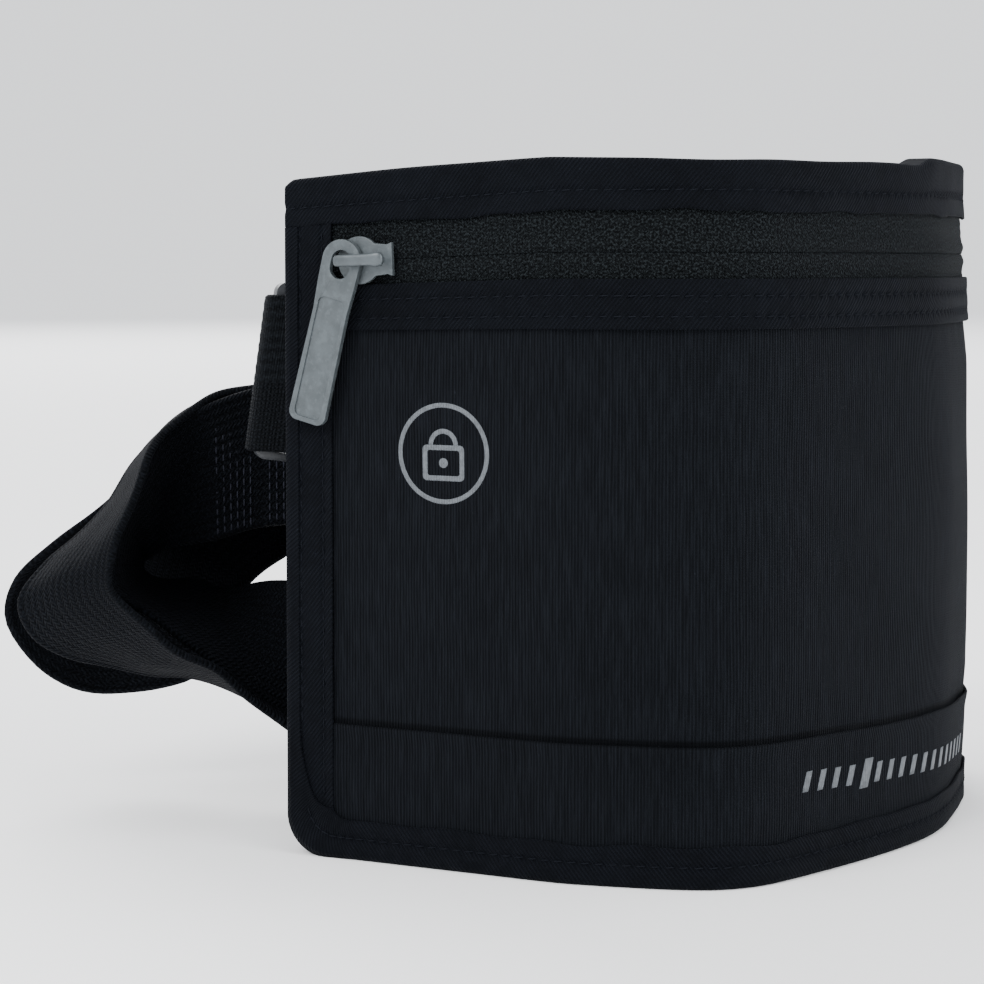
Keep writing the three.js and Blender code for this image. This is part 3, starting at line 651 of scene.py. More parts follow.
def tape(name, rows, width, front_seam, back_seam, seed, front_width=None, front_lift=None, closed_ends=False):
    """A tape folded over the edge that rows follows.

    Its front leg may be narrower (front_width) or ride over another tape (front_lift).
    """
    ring = folded_ring(width)
    inner = slice(len(ring) - 8, len(ring) - 2)
    along = distance_along(rows[:, :2])
    rings, uvs = [], []
    for (s, z, ins, inz), at in zip(rows, along):
        a, d = ring[:, 0].copy(), ring[:, 1].copy()
        outside_front, outside_back = d <= -TAPE + 0.01, d >= REAR - 0.01
        front_side = d < CORE / 2
        if front_width is not None:
            share = (front_width(at) - FOLD) / (width - FOLD)
            a = np.where(front_side & (a > FOLD), FOLD + (a - FOLD) * share, a)
        soft = 0.10 * waves(np.full_like(a, at), a, 6, 9, 30, seed)
        edge_wander = 0.28 * waves(at, np.zeros_like(a), 5, 9, 30, seed + 40) * smooth_step(a, FOLD, width)
        d = np.where(outside_front, d + pinch(at, a, (front_seam,)) + soft - 0.08, d)
        d = np.where(outside_back, d - pinch(at, a, (back_seam,)) + soft + 0.08, d)
        if front_lift is not None:
            d = np.where(front_side, d - front_lift(at) * smooth_step(a, 0.4, FOLD), d)
        a = a + edge_wander - 0.8 * abs(ins) * (1 - smooth_step(a, 0, 2 * FOLD))
        if closed_ends and at in (along[0], along[-1]):
            a[inner] = width - 0.3
            d = CORE / 2 + (d - CORE / 2) * 0.94
        rise = np.clip(top_bump(s), -1.0, 1.7) * (inz < -0.5) * (1 - np.clip(a / width, 0, 1))
        if closed_ends:  # round off both corners of the top edge
            from_end = min(at, along[-1] - at)
            rise = rise - 1.1 * math.exp(-(from_end / 0.8) ** 2) * (1 - np.clip(a / 4, 0, 1))
            s = s + (0.4 if s > LENGTH / 2 else -0.4) * math.exp(-(from_end / 1.0) ** 2)
        rings.append(wrap(s + a * ins, np.maximum(z + a * inz + rise, 0.0), d))
        uvs.append(np.stack([np.full_like(a, at), np.where(front_side, -a, a)], -1) * 0.001)
    return tube(name, np.array(rings), np.array(uvs))


edge_rows, top_rows = edge_path(), top_path()
CORNER_START = HEIGHT - TOP_WIDTH - 0.2 - CORNER
CORNER_END = CORNER_START + 2 * (CORNER - CORNER_OUTER) + CORNER_OUTER * math.pi / 2
BOTTOM_WIDTH, BOTTOM_SEAM, BACK_SEAM, TOP_SEAM = 7.8, 4.3, 7.2, 6.1


def edge_front_width(at):
    """The front leg is a narrow lip up the left side and widens round the corner over the side tape."""
    stops = (0, CORNER_START - 13, CORNER_START - 7, CORNER_START - 3, CORNER_START,
             (CORNER_START + CORNER_END) / 2, CORNER_END)
    return float(np.interp(at, stops, (2.5, 2.5, 2.9, 3.7, 4.6, 8.1, BOTTOM_WIDTH)))


def edge_front_lift(at):
    """How far the front leg stands off where it rides over the side tape."""
    stops = (CORNER_START - 13, CORNER_START - 7, CORNER_END - 7, CORNER_END + 1)
    return float(np.interp(at, stops, (0, 0.4, 0.4, 0)))


cloth_piece(tape("edge_tape", edge_rows, EDGE_WIDTH, BOTTOM_SEAM, BACK_SEAM, 11, edge_front_width, edge_front_lift),
            M_TAPE, "binding_tape", (0.024, 0.465), "folded", "edge_binding")
cloth_piece(tape("top_tape", top_rows, TOP_WIDTH, TOP_SEAM, TOP_SEAM, 12, closed_ends=True),
            M_TAPE, "binding_tape", (0.027, 0.230), "folded", "top_binding")

SIDE_SEAMS, MOUTH_SEAMS = (2.9, 7.7), (105.8, 109.6)
MOUTH_S = (SIDE_EDGE, LENGTH - SIDE_EDGE)


def side_relief(s, z):
    """The side tape is sewn down by two upright seams and swells between them."""
    right = -0.16 * smooth_step(s, 8.2, 9.4)
    return pinch(z, s, SIDE_SEAMS, 0.55, 0.12, 0.2) + right - 0.10 + 0.09 * waves(s, z, 6, 8, 26, 17)


cloth_piece(cloth_layer("side_tape", (1.6, 9.75), lambda s: max(4.0, corner_low(s, 1.4)), lambda s: 125.6,
                        -0.38, 0.5, side_relief, 0.28, 110),
            M_TAPE, "binding_tape", (0.0102, 0.121), "stretched")


def mouth_relief(s, z):
    """The pocket mouth's tape is held by two seams and swells between and beside them."""
    return pinch(s, z, MOUTH_SEAMS) - 0.18 + 0.08 * waves(s, z, 6, 9, 30, 13)


cloth_piece(cloth_layer("mouth_tape", MOUTH_S, lambda s: WELT[0], lambda s: WELT[1], -TAPE, TAPE,
                        mouth_relief, 0.65, 26),
            M_TAPE, "binding_tape", (0.0100, 0.211), "folded", "pocket_mouth_binding")

# ---- zip ----
COIL_PITCH = 1.25


def zip_relief(s, z):
    """Each tape folds over its coil beside the centre line."""
    near = np.abs(z - ZIP_Z)
    roll = np.exp(-((near - 1.5) / 1.1) ** 2) * -0.5
    teeth = 0.05 * np.cos(2 * math.pi * s / COIL_PITCH) * np.exp(-(near / 2.2) ** 2)
    rows = 0.07 * np.cos(2 * math.pi * near / 1.9) * np.clip((near - 2.4) / 1.5, 0, 1)
    return roll + teeth + rows + 0.08 * waves(s, z, 5, 8, 26, 15)


for name, node, low, high, width, across in (("zip_tape_low", "zip_tape_lower", 108.3, ZIP_Z, 0.0100, 24),
                                             ("zip_tape_high", "zip_tape_upper", ZIP_Z, 128.0, 0.0104, 26)):
    cloth_piece(cloth_layer(name, CLOTH_S, lambda s: low, lambda s: high, 0.3, 0.6, zip_relief, 0.62, across),
                M_ZIP, "zip_tape", (width, 0.228), "stretched", node)


def coil(name, side, node):
    """One half of a nylon zip coil: a flattened spring whose loops reach over the centre line."""
    wire, around, start = 0.26, 6, 1.6
    turns = (LENGTH - 2 * start) / COIL_PITCH
    t = np.linspace(0, turns, int(turns * 12) + 1)
    angle = 2 * math.pi * t + (math.pi if side > 0 else 0)
    reach = 1.25 * np.cos(angle)
    z = ZIP_Z + side * (0.85 + reach)
    d = 1.85 + 0.38 * np.sin(angle)
    s = start + t * COIL_PITCH
    middle = wrap(s, z, d)
    tangent = unit(np.gradient(middle, axis=0))
    first = unit(np.cross(tangent, wrap(s, z, d + 1) - middle))
    second = np.cross(tangent, first)
    turn = 2 * math.pi * np.arange(around) / around
    rings = (middle[:, None] + wire * 0.001 * (first[:, None] * np.cos(turn)[None, :, None]
             + second[:, None] * np.sin(turn)[None, :, None]))
    dress(tube(name, rings), M_COIL, "pouch", "zip_coil", node)


coil("coil_low", -1, "zip_coil_lower")
coil("coil_high", 1, "zip_coil_upper")

for node, material in (("rfid_lining", M_LINING), ("inner_divider", M_BACK), ("back_pad", M_PAD)):
    paint(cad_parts[node].data, material)


def refined(name, node, width_mm, material, body, slot):
    """A CAD node's shape with its flat faces merged and its edges rounded."""
    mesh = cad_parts[node].data.copy()
    bm = bmesh.new()
    bm.from_mesh(mesh)
    bmesh.ops.remove_doubles(bm, verts=bm.verts, dist=2e-6)
    bmesh.ops.dissolve_limit(bm, angle_limit=math.radians(2), verts=bm.verts, edges=bm.edges)
    bm.to_mesh(mesh)
    bm.free()
    mesh.name = name
    obj = add_object(name, mesh)
    mesh.polygons.foreach_set("use_smooth", [True] * len(mesh.polygons))
    bevel = obj.modifiers.new("edges", "BEVEL")
    bevel.width = width_mm * 0.001
    bevel.segments = 3
    bevel.limit_method = "ANGLE"
    bevel.angle_limit = math.radians(28)
    bevel.use_clamp_overlap = True
    bevel.harden_normals = True
    dress(obj, material, body, slot, node)


refined("slider_shell", "zip_slider", 0.28, M_METAL, "slider", "slider_metal")
SLIDER_S = 17.8


def on_slider(x, y, z):
    """A place in the slider's own frame (mm): x along the zip, y up, z away from the cloth."""
    here = wrap(SLIDER_S, ZIP_Z, 0.0)
    along = unit(wrap(SLIDER_S + 0.5, ZIP_Z, 0.0) - wrap(SLIDER_S - 0.5, ZIP_Z, 0.0))
    out = facing(SLIDER_S)
    up = np.cross(out, along)
    return here + (x * along + y * up + z * out) * 0.001


def bridge_bar():
    """The rounded bar of the slider's bridge, thicker at its closed end."""
    stations = ((-5.2, 0.45, 0.25), (-5.1, 0.75, 0.45), (-4.8, 1.0, 0.62), (-4.2, 1.12, 0.72), (-2, 1.1, 0.74),
                (1, 1.12, 0.76), (2.8, 1.2, 0.8), (3.9, 1.38, 0.84), (4.7, 1.3, 0.78), (5.15, 0.95, 0.55),
                (5.3, 0.5, 0.3))
    turn = np.linspace(0, 2 * math.pi, 24, endpoint=False)
    c, s = np.cos(turn), np.sin(turn)
    c, s = np.sign(c) * np.abs(c) ** 0.6, np.sign(s) * np.abs(s) ** 0.6
    rings = [[on_slider(x, half * a, 4.62 + thick * b) for a, b in zip(c, s)] for x, half, thick in stations]
    return tube("slider_bridge", np.array(rings))


dress(bridge_bar(), M_METAL, "slider", "slider_metal")
refined("pull_shell", "pull_tab", 0.25, M_METAL, "tab", "slider_metal")
for name, node, edge, body in (("socket_shell", "buckle_socket", 0.55, "pouch"),
                               ("plug_shell", "buckle_plug", 0.5, "plug"),
                               ("arm_high", "prong_upper", 0.5, "upper_arm"),
                               ("arm_low", "prong_lower", 0.5, "lower_arm")):
    refined(name, node, edge, M_PLASTIC, body, "buckle_plastic")


# ---- the strap: webbing along a route ----
STRAP_WIDTH, STRAP_THICK, STRAP_RIBS = 30, 1.3, 15


def spline(points, per_span):
    """A smooth curve through rows of numbers; the first three of each row are a place in mm."""
    p = np.asarray(points, float)
    p = np.vstack([2 * p[0] - p[1], p, 2 * p[-1] - p[-2]])
    out = []
    t = (np.arange(per_span) / per_span)[:, None]
    for i in range(1, len(p) - 2):
        a, b, c, d = p[i - 1:i + 3]
        g = [max(np.linalg.norm(v[:3]), 1e-6) ** 0.5 for v in (b - a, c - b, d - c)]
        m1 = ((b - a) / g[0] - (c - a) / (g[0] + g[1]) + (c - b) / g[1]) * g[1]
        m2 = ((c - b) / g[1] - (d - b) / (g[1] + g[2]) + (d - c) / g[2]) * g[1]
        out.append((2 * t ** 3 - 3 * t ** 2 + 1) * b + (t ** 3 - 2 * t ** 2 + t) * m1
                   + (-2 * t ** 3 + 3 * t ** 2) * c + (t ** 3 - t ** 2) * m2)
    out.append(p[-2][None])
    return np.vstack(out)


def evenly(rows, step):
    """The rows resampled at even steps, and the distance of each."""
    along = distance_along(rows[:, :3])
    at = np.linspace(0, along[-1], int(along[-1] / step) + 1)
    return np.stack([np.interp(at, along, rows[:, k]) for k in range(rows.shape[1])], -1), at


def band_ring(width, thick, ribs, rib_height, across):
    """Ring of (across, through) points of a woven band with lengthwise ribs on both faces."""
    a = np.linspace(-width / 2 + thick * 0.45, width / 2 - thick * 0.45, across)
    lift = rib_height * (np.abs(np.sin(math.pi * ribs * (a / width + 0.5))) - 0.6)
    lift = lift + 0.22 * np.exp(-((width / 2 - 1.1 - np.abs(a)) / 0.6) ** 2)
    turn = np.linspace(math.pi / 2, -math.pi / 2, 5)[1:-1]
    right = [(width / 2 - thick * 0.45 + thick * 0.45 * math.cos(t), thick / 2 * math.sin(t)) for t in turn]
    left = [(-x, -y) for x, y in right]
    top = list(zip(a, thick / 2 + lift))
    bottom = list(zip(a[::-1], -thick / 2 - lift[::-1]))
    return np.array(top + right + bottom + left)


def band(name, rows, along, curl):
    """The strap's webbing along rows of (place, width direction), ruled between its two edges."""
    centre, w = rows[:, :3], unit(rows[:, 3:6])
    n = unit(np.cross(np.gradient(centre, axis=0), w))
    ring = band_ring(STRAP_WIDTH, STRAP_THICK, STRAP_RIBS, 0.14, 61)
    through = ring[None, :, 1] + curl(along[:, None], ring[None, :, 0])
    points = centre[:, None] + w[:, None] * ring[None, :, :1] + n[:, None] * through[..., None]
    uv = np.stack(np.broadcast_arrays(ring[None, :, 0], along[:, None]), -1) * 0.001
    return tube(name, place(points), uv)


# The strap's route, from its sewn-back tail round the plug's bar, down behind the pouch in three
# loops and back to the pouch's right end: a place and the direction of the webbing's width.
TAIL = [
    (-48.5, 67.2, 75, 0, 0, 1), (-34, 67.2, 76, 0, 0, 1), (-22, 67.2, 77.5, 0, 0, 1),
    (-4, 67, 79, 0, 0, 1), (12, 67, 79, 0, 0, 1), (24, 67, 79, 0, 0, 1), (34, 67, 80, 0, 0, 1),
    (37.3, 65.8, 80.6, 0, 0, 1), (38.6, 62.5, 81.4, 0, 0, 1), (37.3, 59.2, 82.2, 0.1, 0, 1),
    (35, 58, 82.4, 0.14, 0.03, 1), (25.5, 58, 84.3, 0.14, 0.03, 1), (16.5, 57.5, 85.5, 0.14, 0.03, 1),
]
HAIRPIN = [
    (12.1, 56.2, 86, 0.14, 0.03, 1), (9.1, 54.6, 86.3, 0.14, 0.03, 1), (8.3, 52, 86.4, 0.14, 0.03, 1),
    (9.9, 50, 86.3, 0.14, 0.03, 1), (13.6, 49.8, 86, 0.14, 0.03, 1),
]
FIRST_LEG = [
    (25.5, 52.6, 84.3, 0.14, 0.03, 1), (35, 55.4, 82.6, 0.13, 0, 1), (39.4, 57.6, 82, 0.1, 0, 1),
    (41.4, 62.5, 81.2, 0, 0, 1), (39.4, 67.4, 80.4, 0, 0, 1), (34, 69.6, 80, 0, 0, 1),
    (24, 69.6, 79, 0, 0, 1), (12, 69.6, 79, 0, 0, 1), (-4, 69.6, 79, 0, 0, 1),
    (-22, 70, 78, 0, 0, 1),
]
INNER_LOOP = [
    (-43, 70, 75, 0, 0, 1), (-51, 70, 74, 0, 0, 1), (-59, 69, 71.5, 0, -0.1, 1),
    (-66, 70, 69, 0.1, -0.3, 0.9), (-71, 71, 66, 0.1, -0.5, 0.8), (-74, 70, 62, 0.1, -0.7, 0.7),
    (-77, 70, 58, 0, -0.9, 0.4), (-78, 69, 54, -0.1, -1, 0.2), (-78, 69, 50, -0.1, -1, 0.1),
    (-76, 69, 47, -0.1, -1, 0), (-71, 70, 44.5, 0, -1, -0.1), (-65, 70, 42, 0, -1, -0.3),
    (-58, 70, 38, 0, -0.9, -0.4), (-51, 69.5, 35.5, 0, -0.7, -0.7), (-43, 67, 33.6, 0, -0.35, -0.94),
    (-30, 66, 34, 0, -0.2, -1), (-16, 66, 33, 0, -0.1, -1), (-7, 62, 31, 0, -0.3, -0.95),
    (-7, 56, 24, 0, -0.5, -0.85), (-14, 54, 16, 0, -0.85, -0.5),
]
OUTER_FAN = [
    (-26, 57, 13, 0, -1, -0.1), (-36, 61, 15, 0.1, -1, 0.05), (-44, 64, 19.4, 0.1, -1, 0.1),
    (-53, 64, 24.4, 0.2, -1, 0.1), (-61, 62, 29.4, 0.3, -0.95, 0.2), (-69, 59, 32, 0.35, -0.9, 0.3),
    (-76, 57, 36, 0.4, -0.8, 0.4), (-83, 55, 40, 0.5, -0.7, 0.5), (-87, 53, 44, 0.65, -0.6, 0.45),
    (-88, 52, 50, 0.75, -0.55, 0.35), (-85, 54, 56, 0.65, -0.7, 0.3), (-81, 57, 61, 0.5, -0.8, 0.3),
    (-77, 61, 67, 0.35, -0.9, 0.25), (-74, 67, 74.5, 0.25, -0.95, 0.2), (-71, 73, 78.8, 0.2, -0.95, 0.15),
    (-66, 79, 83.2, 0.2, -1, 0.1), (-60, 84, 86, 0.15, -1, 0.1), (-52, 87, 87.8, 0.1, -1, 0.05),
    (-45, 89, 88.8, 0, -1, 0), (-26, 90, 91, 0, -1, 0), (-13, 90, 92.5, 0, -1, 0),
    (-5, 90, 89.5, 0, -1, -0.1), (-10, 90, 84, 0.1, -0.9, -0.4), (-22, 89, 79, 0.3, -0.6, -0.7),
]
BACK_LOOP = [
    (-45, 88, 69, 0.54, 0, -0.84), (-53, 87, 64, 0.54, 0, -0.84), (-59, 86.5, 60, 0.56, 0, -0.83),
    (-64, 86.5, 55, 0.62, 0, -0.78), (-67, 87, 48, 0.6, 0, -0.8), (-69, 88, 41.5, 0.55, 0, -0.83),
    (-72, 89, 37.5, 0.4, 0, -0.92), (-76, 90, 36, 0.2, 0, -1), (-81, 91, 35, 0, 0, -1),
    (-86, 90.5, 35, -0.15, -0.1, -1), (-91, 89, 37, -0.3, -0.4, -0.9), (-95, 88.5, 40, -0.4, -0.6, -0.7),
    (-97, 88.5, 45, -0.6, -0.7, -0.45), (-95, 89, 51, -0.6, -0.8, -0.3), (-89, 90, 56, -0.4, -0.9, -0.1),
    (-82, 92, 60, -0.25, -1, 0.1), (-76, 95, 63, -0.2, -0.9, 0.3), (-67, 99, 66, -0.1, -0.5, 0.85),
    (-56, 101, 67, 0, -0.1, 1), (-40, 102, 68, 0, 0, 1),
]
FAR_LEG = [
    (-10, 104, 70, 0, 0, 1), (20, 110, 73, 0, 0, 1), (48, 116.5, 75, 0, 0, 1), (72, 121.3, 76, 0, 0, 1),
    (85.5, 121.4, 76, 0, 0, 1),
]


def anchor(s):
    """A place behind the pouch's right end, where the strap is sewn on."""
    return (*across_plan(s, REAR + 0.4 + STRAP_THICK / 2), 76.0, 0.0, 0.0, 1.0)


def strap_curl(along, across):
    """The webbing cups a little and its edges wander, less so where the keeper holds it flat."""
    loose = np.interp(along, (225, 250), (0.25, 1.0))
    return loose * (0.35 * waves(along, across * 0.8, 6, 26, 70, 21) + 0.12 * waves(along, across, 6, 9, 20, 22))


strap_rows, strap_along = evenly(spline(
    TAIL + HAIRPIN + FIRST_LEG + INNER_LOOP + OUTER_FAN + BACK_LOOP + FAR_LEG
    + [anchor(LENGTH + 1.5), anchor(LENGTH - 5), anchor(LENGTH - 10)], 12), 1.5)
SPLIT_X, FIRST_LEG_START, PLUG_END_X = -22.0, 150, 2
split = int(np.argmax((strap_along > FIRST_LEG_START) & (strap_rows[:, 0] < SPLIT_X)))
for name, part in (("strap_front", slice(0, split + 1)), ("strap_rear", slice(split, None))):
    piece = band(name, strap_rows[part], strap_along[part], strap_curl)
    dress(piece, M_WEBBING, None, "webbing", "waist_strap")
    if name == "strap_front":
        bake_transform(piece)
    else:
        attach(piece, "pouch")

# ---- keeper and elastic tab ----
KEEPER_X = (11.0, 19.0)


def keeper_piece():
    """An elastic ring round both layers of the strap."""
    y0, y1, z0, z1 = 64.7, 71.9, 61.7, 96.3
    r, t = 1.7, 1.15  # its corners' radius and its thickness
    loop = []
    for cy, cz, start in ((y1 - r, z1 - r, 0), (y0 + r, z1 - r, 1), (y0 + r, z0 + r, 2), (y1 - r, z0 + r, 3)):
        for k in range(6):
            angle = (start + k / 5) * math.pi / 2
            loop.append((cy + r * math.cos(angle), cz + r * math.sin(angle), math.cos(angle), math.sin(angle)))
    line = []
    for (a, b) in zip(loop, loop[1:] + loop[:1]):
        steps = max(1, int(np.hypot(b[0] - a[0], b[1] - a[1]) / 1.2))
        for k in range(steps):
            line.append([a[i] + (b[i] - a[i]) * k / steps for i in range(4)])
    line = np.array(line)
    line[:, 2:] = unit(line[:, 2:])
    along = distance_along(line[:, :2])
    x = np.linspace(*KEEPER_X, 17)
    lift = 0.10 * np.abs(np.sin(math.pi * np.arange(17) / 4))
    profile = [*zip(x, lift)] + [(px, -t - lf * 0.3) for px, lf in zip(x[::-1], lift[::-1])]
    rings = np.array([[(px, row[0] + row[2] * off, row[1] + row[3] * off) for px, off in profile] for row in line])
    uv = np.array([[(px * 0.001, at * 0.001) for px, off in profile] for at in along])
    rows, columns = rings.shape[:2]
    last = (rows - 1) * columns
    closing = [(last + j, last + (j + 1) % columns, (j + 1) % columns, j) for j in range(columns)]
    return new_piece("keeper_ring", place(rings), ring_faces(rows, columns) + closing, uv)


dress(keeper_piece(), M_KEEPER, "keeper", "elastic", "strap_keeper")

BAR = np.array([-43.5, 38.5, 94.2])
BAR_LOOP = [
    (1.8, 4.7), (-0.6, 3.6), (-2.6, 2.4), (-3.2, -0.2), (-2.3, -2.7), (0.3, -3.7),
    (3.2, -2.7), (4.6, -0.4), (5.4, 2.4), (6.4, 5.2), (8.6, 7.9),
]
BUCKLE_TURN, BUCKLE_DROP = math.radians(14.5), math.radians(8)
TAB_Z = (78.3, 109.3)


def buckle_axes():
    """Unit vectors along the buckle, up its width and out of its face."""
    along = np.array([math.cos(BUCKLE_TURN) * math.cos(BUCKLE_DROP), math.sin(BUCKLE_TURN) * math.cos(BUCKLE_DROP),
                      -math.sin(BUCKLE_DROP)])
    out = unit(np.cross(along, [0, 0, 1]))
    return along, np.cross(out, along), out


def elastic_piece():
    """The elastic strip, from behind the pouch's left end round the socket's bar and back."""
    cos, sin = math.cos(BUCKLE_TURN), math.sin(BUCKLE_TURN)
    depth = REAR + 0.3 + 0.6
    loop = [(BAR[0] + u * cos + w * sin, BAR[1] + u * sin - w * cos, 0.0) for u, w in BAR_LOOP]
    ends = [(*across_plan(s, d), 0.0) for s, d in ((12, depth), (0.5, depth), (8, depth + 2))]
    route = [*ends[:2], *loop, ends[2]]
    rows, along = evenly(spline(route, 14), 0.8)
    tangent = unit(np.gradient(rows, axis=0))
    side = np.stack([-tangent[:, 1], tangent[:, 0]], -1)
    tilt = buckle_axes()[1]
    tilt = tilt[:2] / tilt[2]
    share = np.clip((-36.5 - rows[:, 0]) / 4, 0, 1)
    heights = np.linspace(TAB_Z[0] + 0.4, TAB_Z[1] - 0.4, 121)
    lift = np.where(heights > ELASTIC_SPLIT, 0.16 * np.sin(2 * math.pi * heights / ELASTIC_RIB),
                    0.05 * np.sin(2 * math.pi * heights / 0.75))
    half = 0.52
    ring = np.array([*zip(heights, half + lift), (TAB_Z[1], 0.0),
                     *zip(heights[::-1], -half - lift[::-1] * 0.3), (TAB_Z[0], 0.0)])
    h, b = ring[:, 0], -ring[:, 1]
    rings = []
    for (x, y, _), (nx, ny), sh in zip(rows, side, share):
        rings.append(np.stack([x + nx * b + sh * tilt[0] * (h - BAR[2]),
                               y + ny * b + sh * tilt[1] * (h - BAR[2]), h], -1))
    uv = np.stack(np.broadcast_arrays(along[:, None], ring[None, :, 0]), -1) * 0.001
    return tube("elastic_loop", place(np.array(rings)), uv)


cloth_piece(elastic_piece(), M_ELASTIC, "elastic", (0.0314, 0.053), "folded", "elastic_tab")


# ---- stitches ----
def capsule(length, radius, around=6, stations=7):
    """Points and faces of one stitch lying along x, its ends rounded and dipping."""
    rings = []
    for t in np.linspace(-1, 1, stations):
        r = radius * max(0.25, math.sqrt(max(0.0, 1 - t ** 4)))
        for k in range(around):
            angle = 2 * math.pi * k / around
            rings.append((t * length / 2, r * math.cos(angle), r * math.sin(angle) - 0.12 * t * t))
    return np.array(rings), ring_faces(stations, around) + caps(stations, around)


def stitches(name, rows, slot, length, radius, material):
    """One piece holding a row of stitches; rows are (place, along, out) in mm and unit vectors."""
    base, faces = capsule(length, radius)
    points, all_faces = [], []
    for place_mm, along, out in rows:
        axes = np.stack([along, unit(np.cross(out, along)), out], 0)
        start = len(points) * len(base)
        points.append(base @ axes + place_mm)
        all_faces += [tuple(i + start for i in f) for f in faces]
    obj = new_piece(name, np.vstack(points) * 0.001, all_faces)
    dress(obj, material, "pouch", slot)


SEAM_TILT = math.radians(5)


def on_sheet(points):
    """Rows for stitches() from a list of (s, z, d, direction in the sheet); stitches lie a little askew."""
    rows = []
    for s, z, d, (ds, dz) in points:
        a, b = wrap(s - ds * 0.3, z - dz * 0.3, d) * 1000, wrap(s + ds * 0.3, z + dz * 0.3, d) * 1000
        out = facing(s) if d <= CORE / 2 else -facing(s)
        along = unit(b - a)
        along = along * math.cos(SEAM_TILT) + np.cross(out, along) * math.sin(SEAM_TILT)
        rows.append((wrap(s, z, d) * 1000, along, out))
    return rows


def seam_on_path(path_rows, inward, depth):
    """Stitch points along an edge tape, at a distance in from the edge."""
    inner = path_rows.copy()
    inner[:, 0] += inner[:, 2] * inward
    inner[:, 1] += inner[:, 3] * inward
    along = distance_along(path_rows[:, :2])
    at = np.arange(STITCH_PITCH * 0.5, along[-1], STITCH_PITCH)
    s, z = np.interp(at, along, inner[:, 0]), np.interp(at, along, inner[:, 1])
    ahead = [(np.interp(at + 0.5, along, inner[:, k]) - np.interp(at - 0.5, along, inner[:, k])) for k in (0, 1)]
    size = np.maximum(np.hypot(*ahead), 1e-6)
    depths = depth(at) if callable(depth) else np.full_like(at, depth)
    return [(a, b, d, (c, e)) for a, b, d, c, e in zip(s, z, depths, ahead[0] / size, ahead[1] / size)]


def needle_holes(ends):
    return np.arange(ends[0] + STITCH_PITCH / 2, ends[1], STITCH_PITCH)


def level_seam(z):
    return [(s, z, -TAPE - 0.04, (1.0, 0.0)) for s in needle_holes(MOUTH_S)]


def upright_seam(s, ends):
    return [(s, z, -0.36, (0.0, 1.0)) for z in needle_holes(ends)]


def bottom_seam():
    """The seam of the edge tape from the left corner on; it rides over the side tape there."""
    along = distance_along(edge_rows[:, :2])
    start = (CORNER_START + CORNER_END) / 2 - 6
    keep = along > start
    first = along[keep][0]
    reach = smooth_step(BOTTOM_SEAM, 0.4, FOLD)

    def depth(at):
        return np.array([-TAPE + 0.02 - edge_front_lift(first + t) * reach for t in at])

    return seam_on_path(edge_rows[keep], BOTTOM_SEAM, depth)


for label, points in (
        ("seam_bottom", bottom_seam()),
        ("seam_side_left", upright_seam(SIDE_SEAMS[0], (26, 124))),
        ("seam_side_right", upright_seam(SIDE_SEAMS[1], (12, 124))),
        ("seam_edge_back", seam_on_path(edge_rows, BACK_SEAM, REAR - 0.02)),
        ("seam_top", seam_on_path(top_rows, TOP_SEAM, -TAPE + 0.02)),
        ("seam_top_back", seam_on_path(top_rows, TOP_SEAM, REAR - 0.02)),
        ("seam_mouth_low", level_seam(MOUTH_SEAMS[0])),
        ("seam_mouth_high", level_seam(MOUTH_SEAMS[1]))):
    stitches(label, on_sheet(points), "binding_tape", 1.8, 0.14, M_THREAD)


def strap_seam(index, front):
    """Rows for stitches() across the strap at one of its rows, on the side that looks forward or back."""
    centre, w = strap_rows[index, :3], unit(strap_rows[index, 3:6])
    t = strap_rows[min(index + 1, len(strap_rows) - 1), :3] - strap_rows[max(index - 1, 0), :3]
    n = unit(np.cross(t, w))
    n = n if (n[1] < 0) == front else -n
    reach, above = 13.2, 0.72  # the row's half length, and the thread's height over the webbing's middle
    return [(centre + SHIFT + w * a + n * above, w, n) for a in np.arange(-reach, reach + 0.1, 2.2)]


loop_start = int(np.argmax((strap_along > 200) & (strap_rows[:, 0] < -50.5)))
last_row = len(strap_rows) - 2
for label, rows, front in (("tack_strap", range(loop_start, loop_start + 6), True), ("tack_tail", (1, 2, 3), True),
                           ("tack_anchor", (last_row, last_row - 1, last_row - 5, last_row - 6), False)):
    stitches(label, sum((strap_seam(row, front) for row in rows), []), "webbing", 1.7, 0.2, M_LIGHT_THREAD)

# ---- prints: a plain padlock mark and a row of slanted bars ----
def print_strip(name, outer, inner, surface, closed=True):
    """A thin raised stroke of ink between two lines of (s, z) points on the cloth."""
    outer, inner = np.asarray(outer, float), np.asarray(inner, float)
    rings, uvs = [], []
    for a, b in zip(outer, inner):
        across = np.linspace(0, 1, 5)[:, None]
        line = a * (1 - across) + b * across
        top = surface(line[:, 0], line[:, 1]) - 0.07
        bottom = top + 0.09
        s = np.concatenate([line[:, 0], line[::-1, 0]])
        z = np.concatenate([line[:, 1], line[::-1, 1]])
        rings.append(wrap(s, z, np.concatenate([top, bottom[::-1]])))
        uvs.append(np.stack([s, z], -1) * 0.001)
    rings, uvs = np.array(rings), np.array(uvs)
    if not closed:
        return tube(name, rings, uvs)
    rows, columns = rings.shape[:2]
    faces = [[i % (rows * columns) for i in face] for face in ring_faces(rows + 1, columns)]
    return new_piece(name, rings, faces, uvs)


def front_surface(s, z):
    return FRONT_D + front_relief(s, z)


def hem_surface(s, z):
    return HEM_D + hem_relief(s, z)


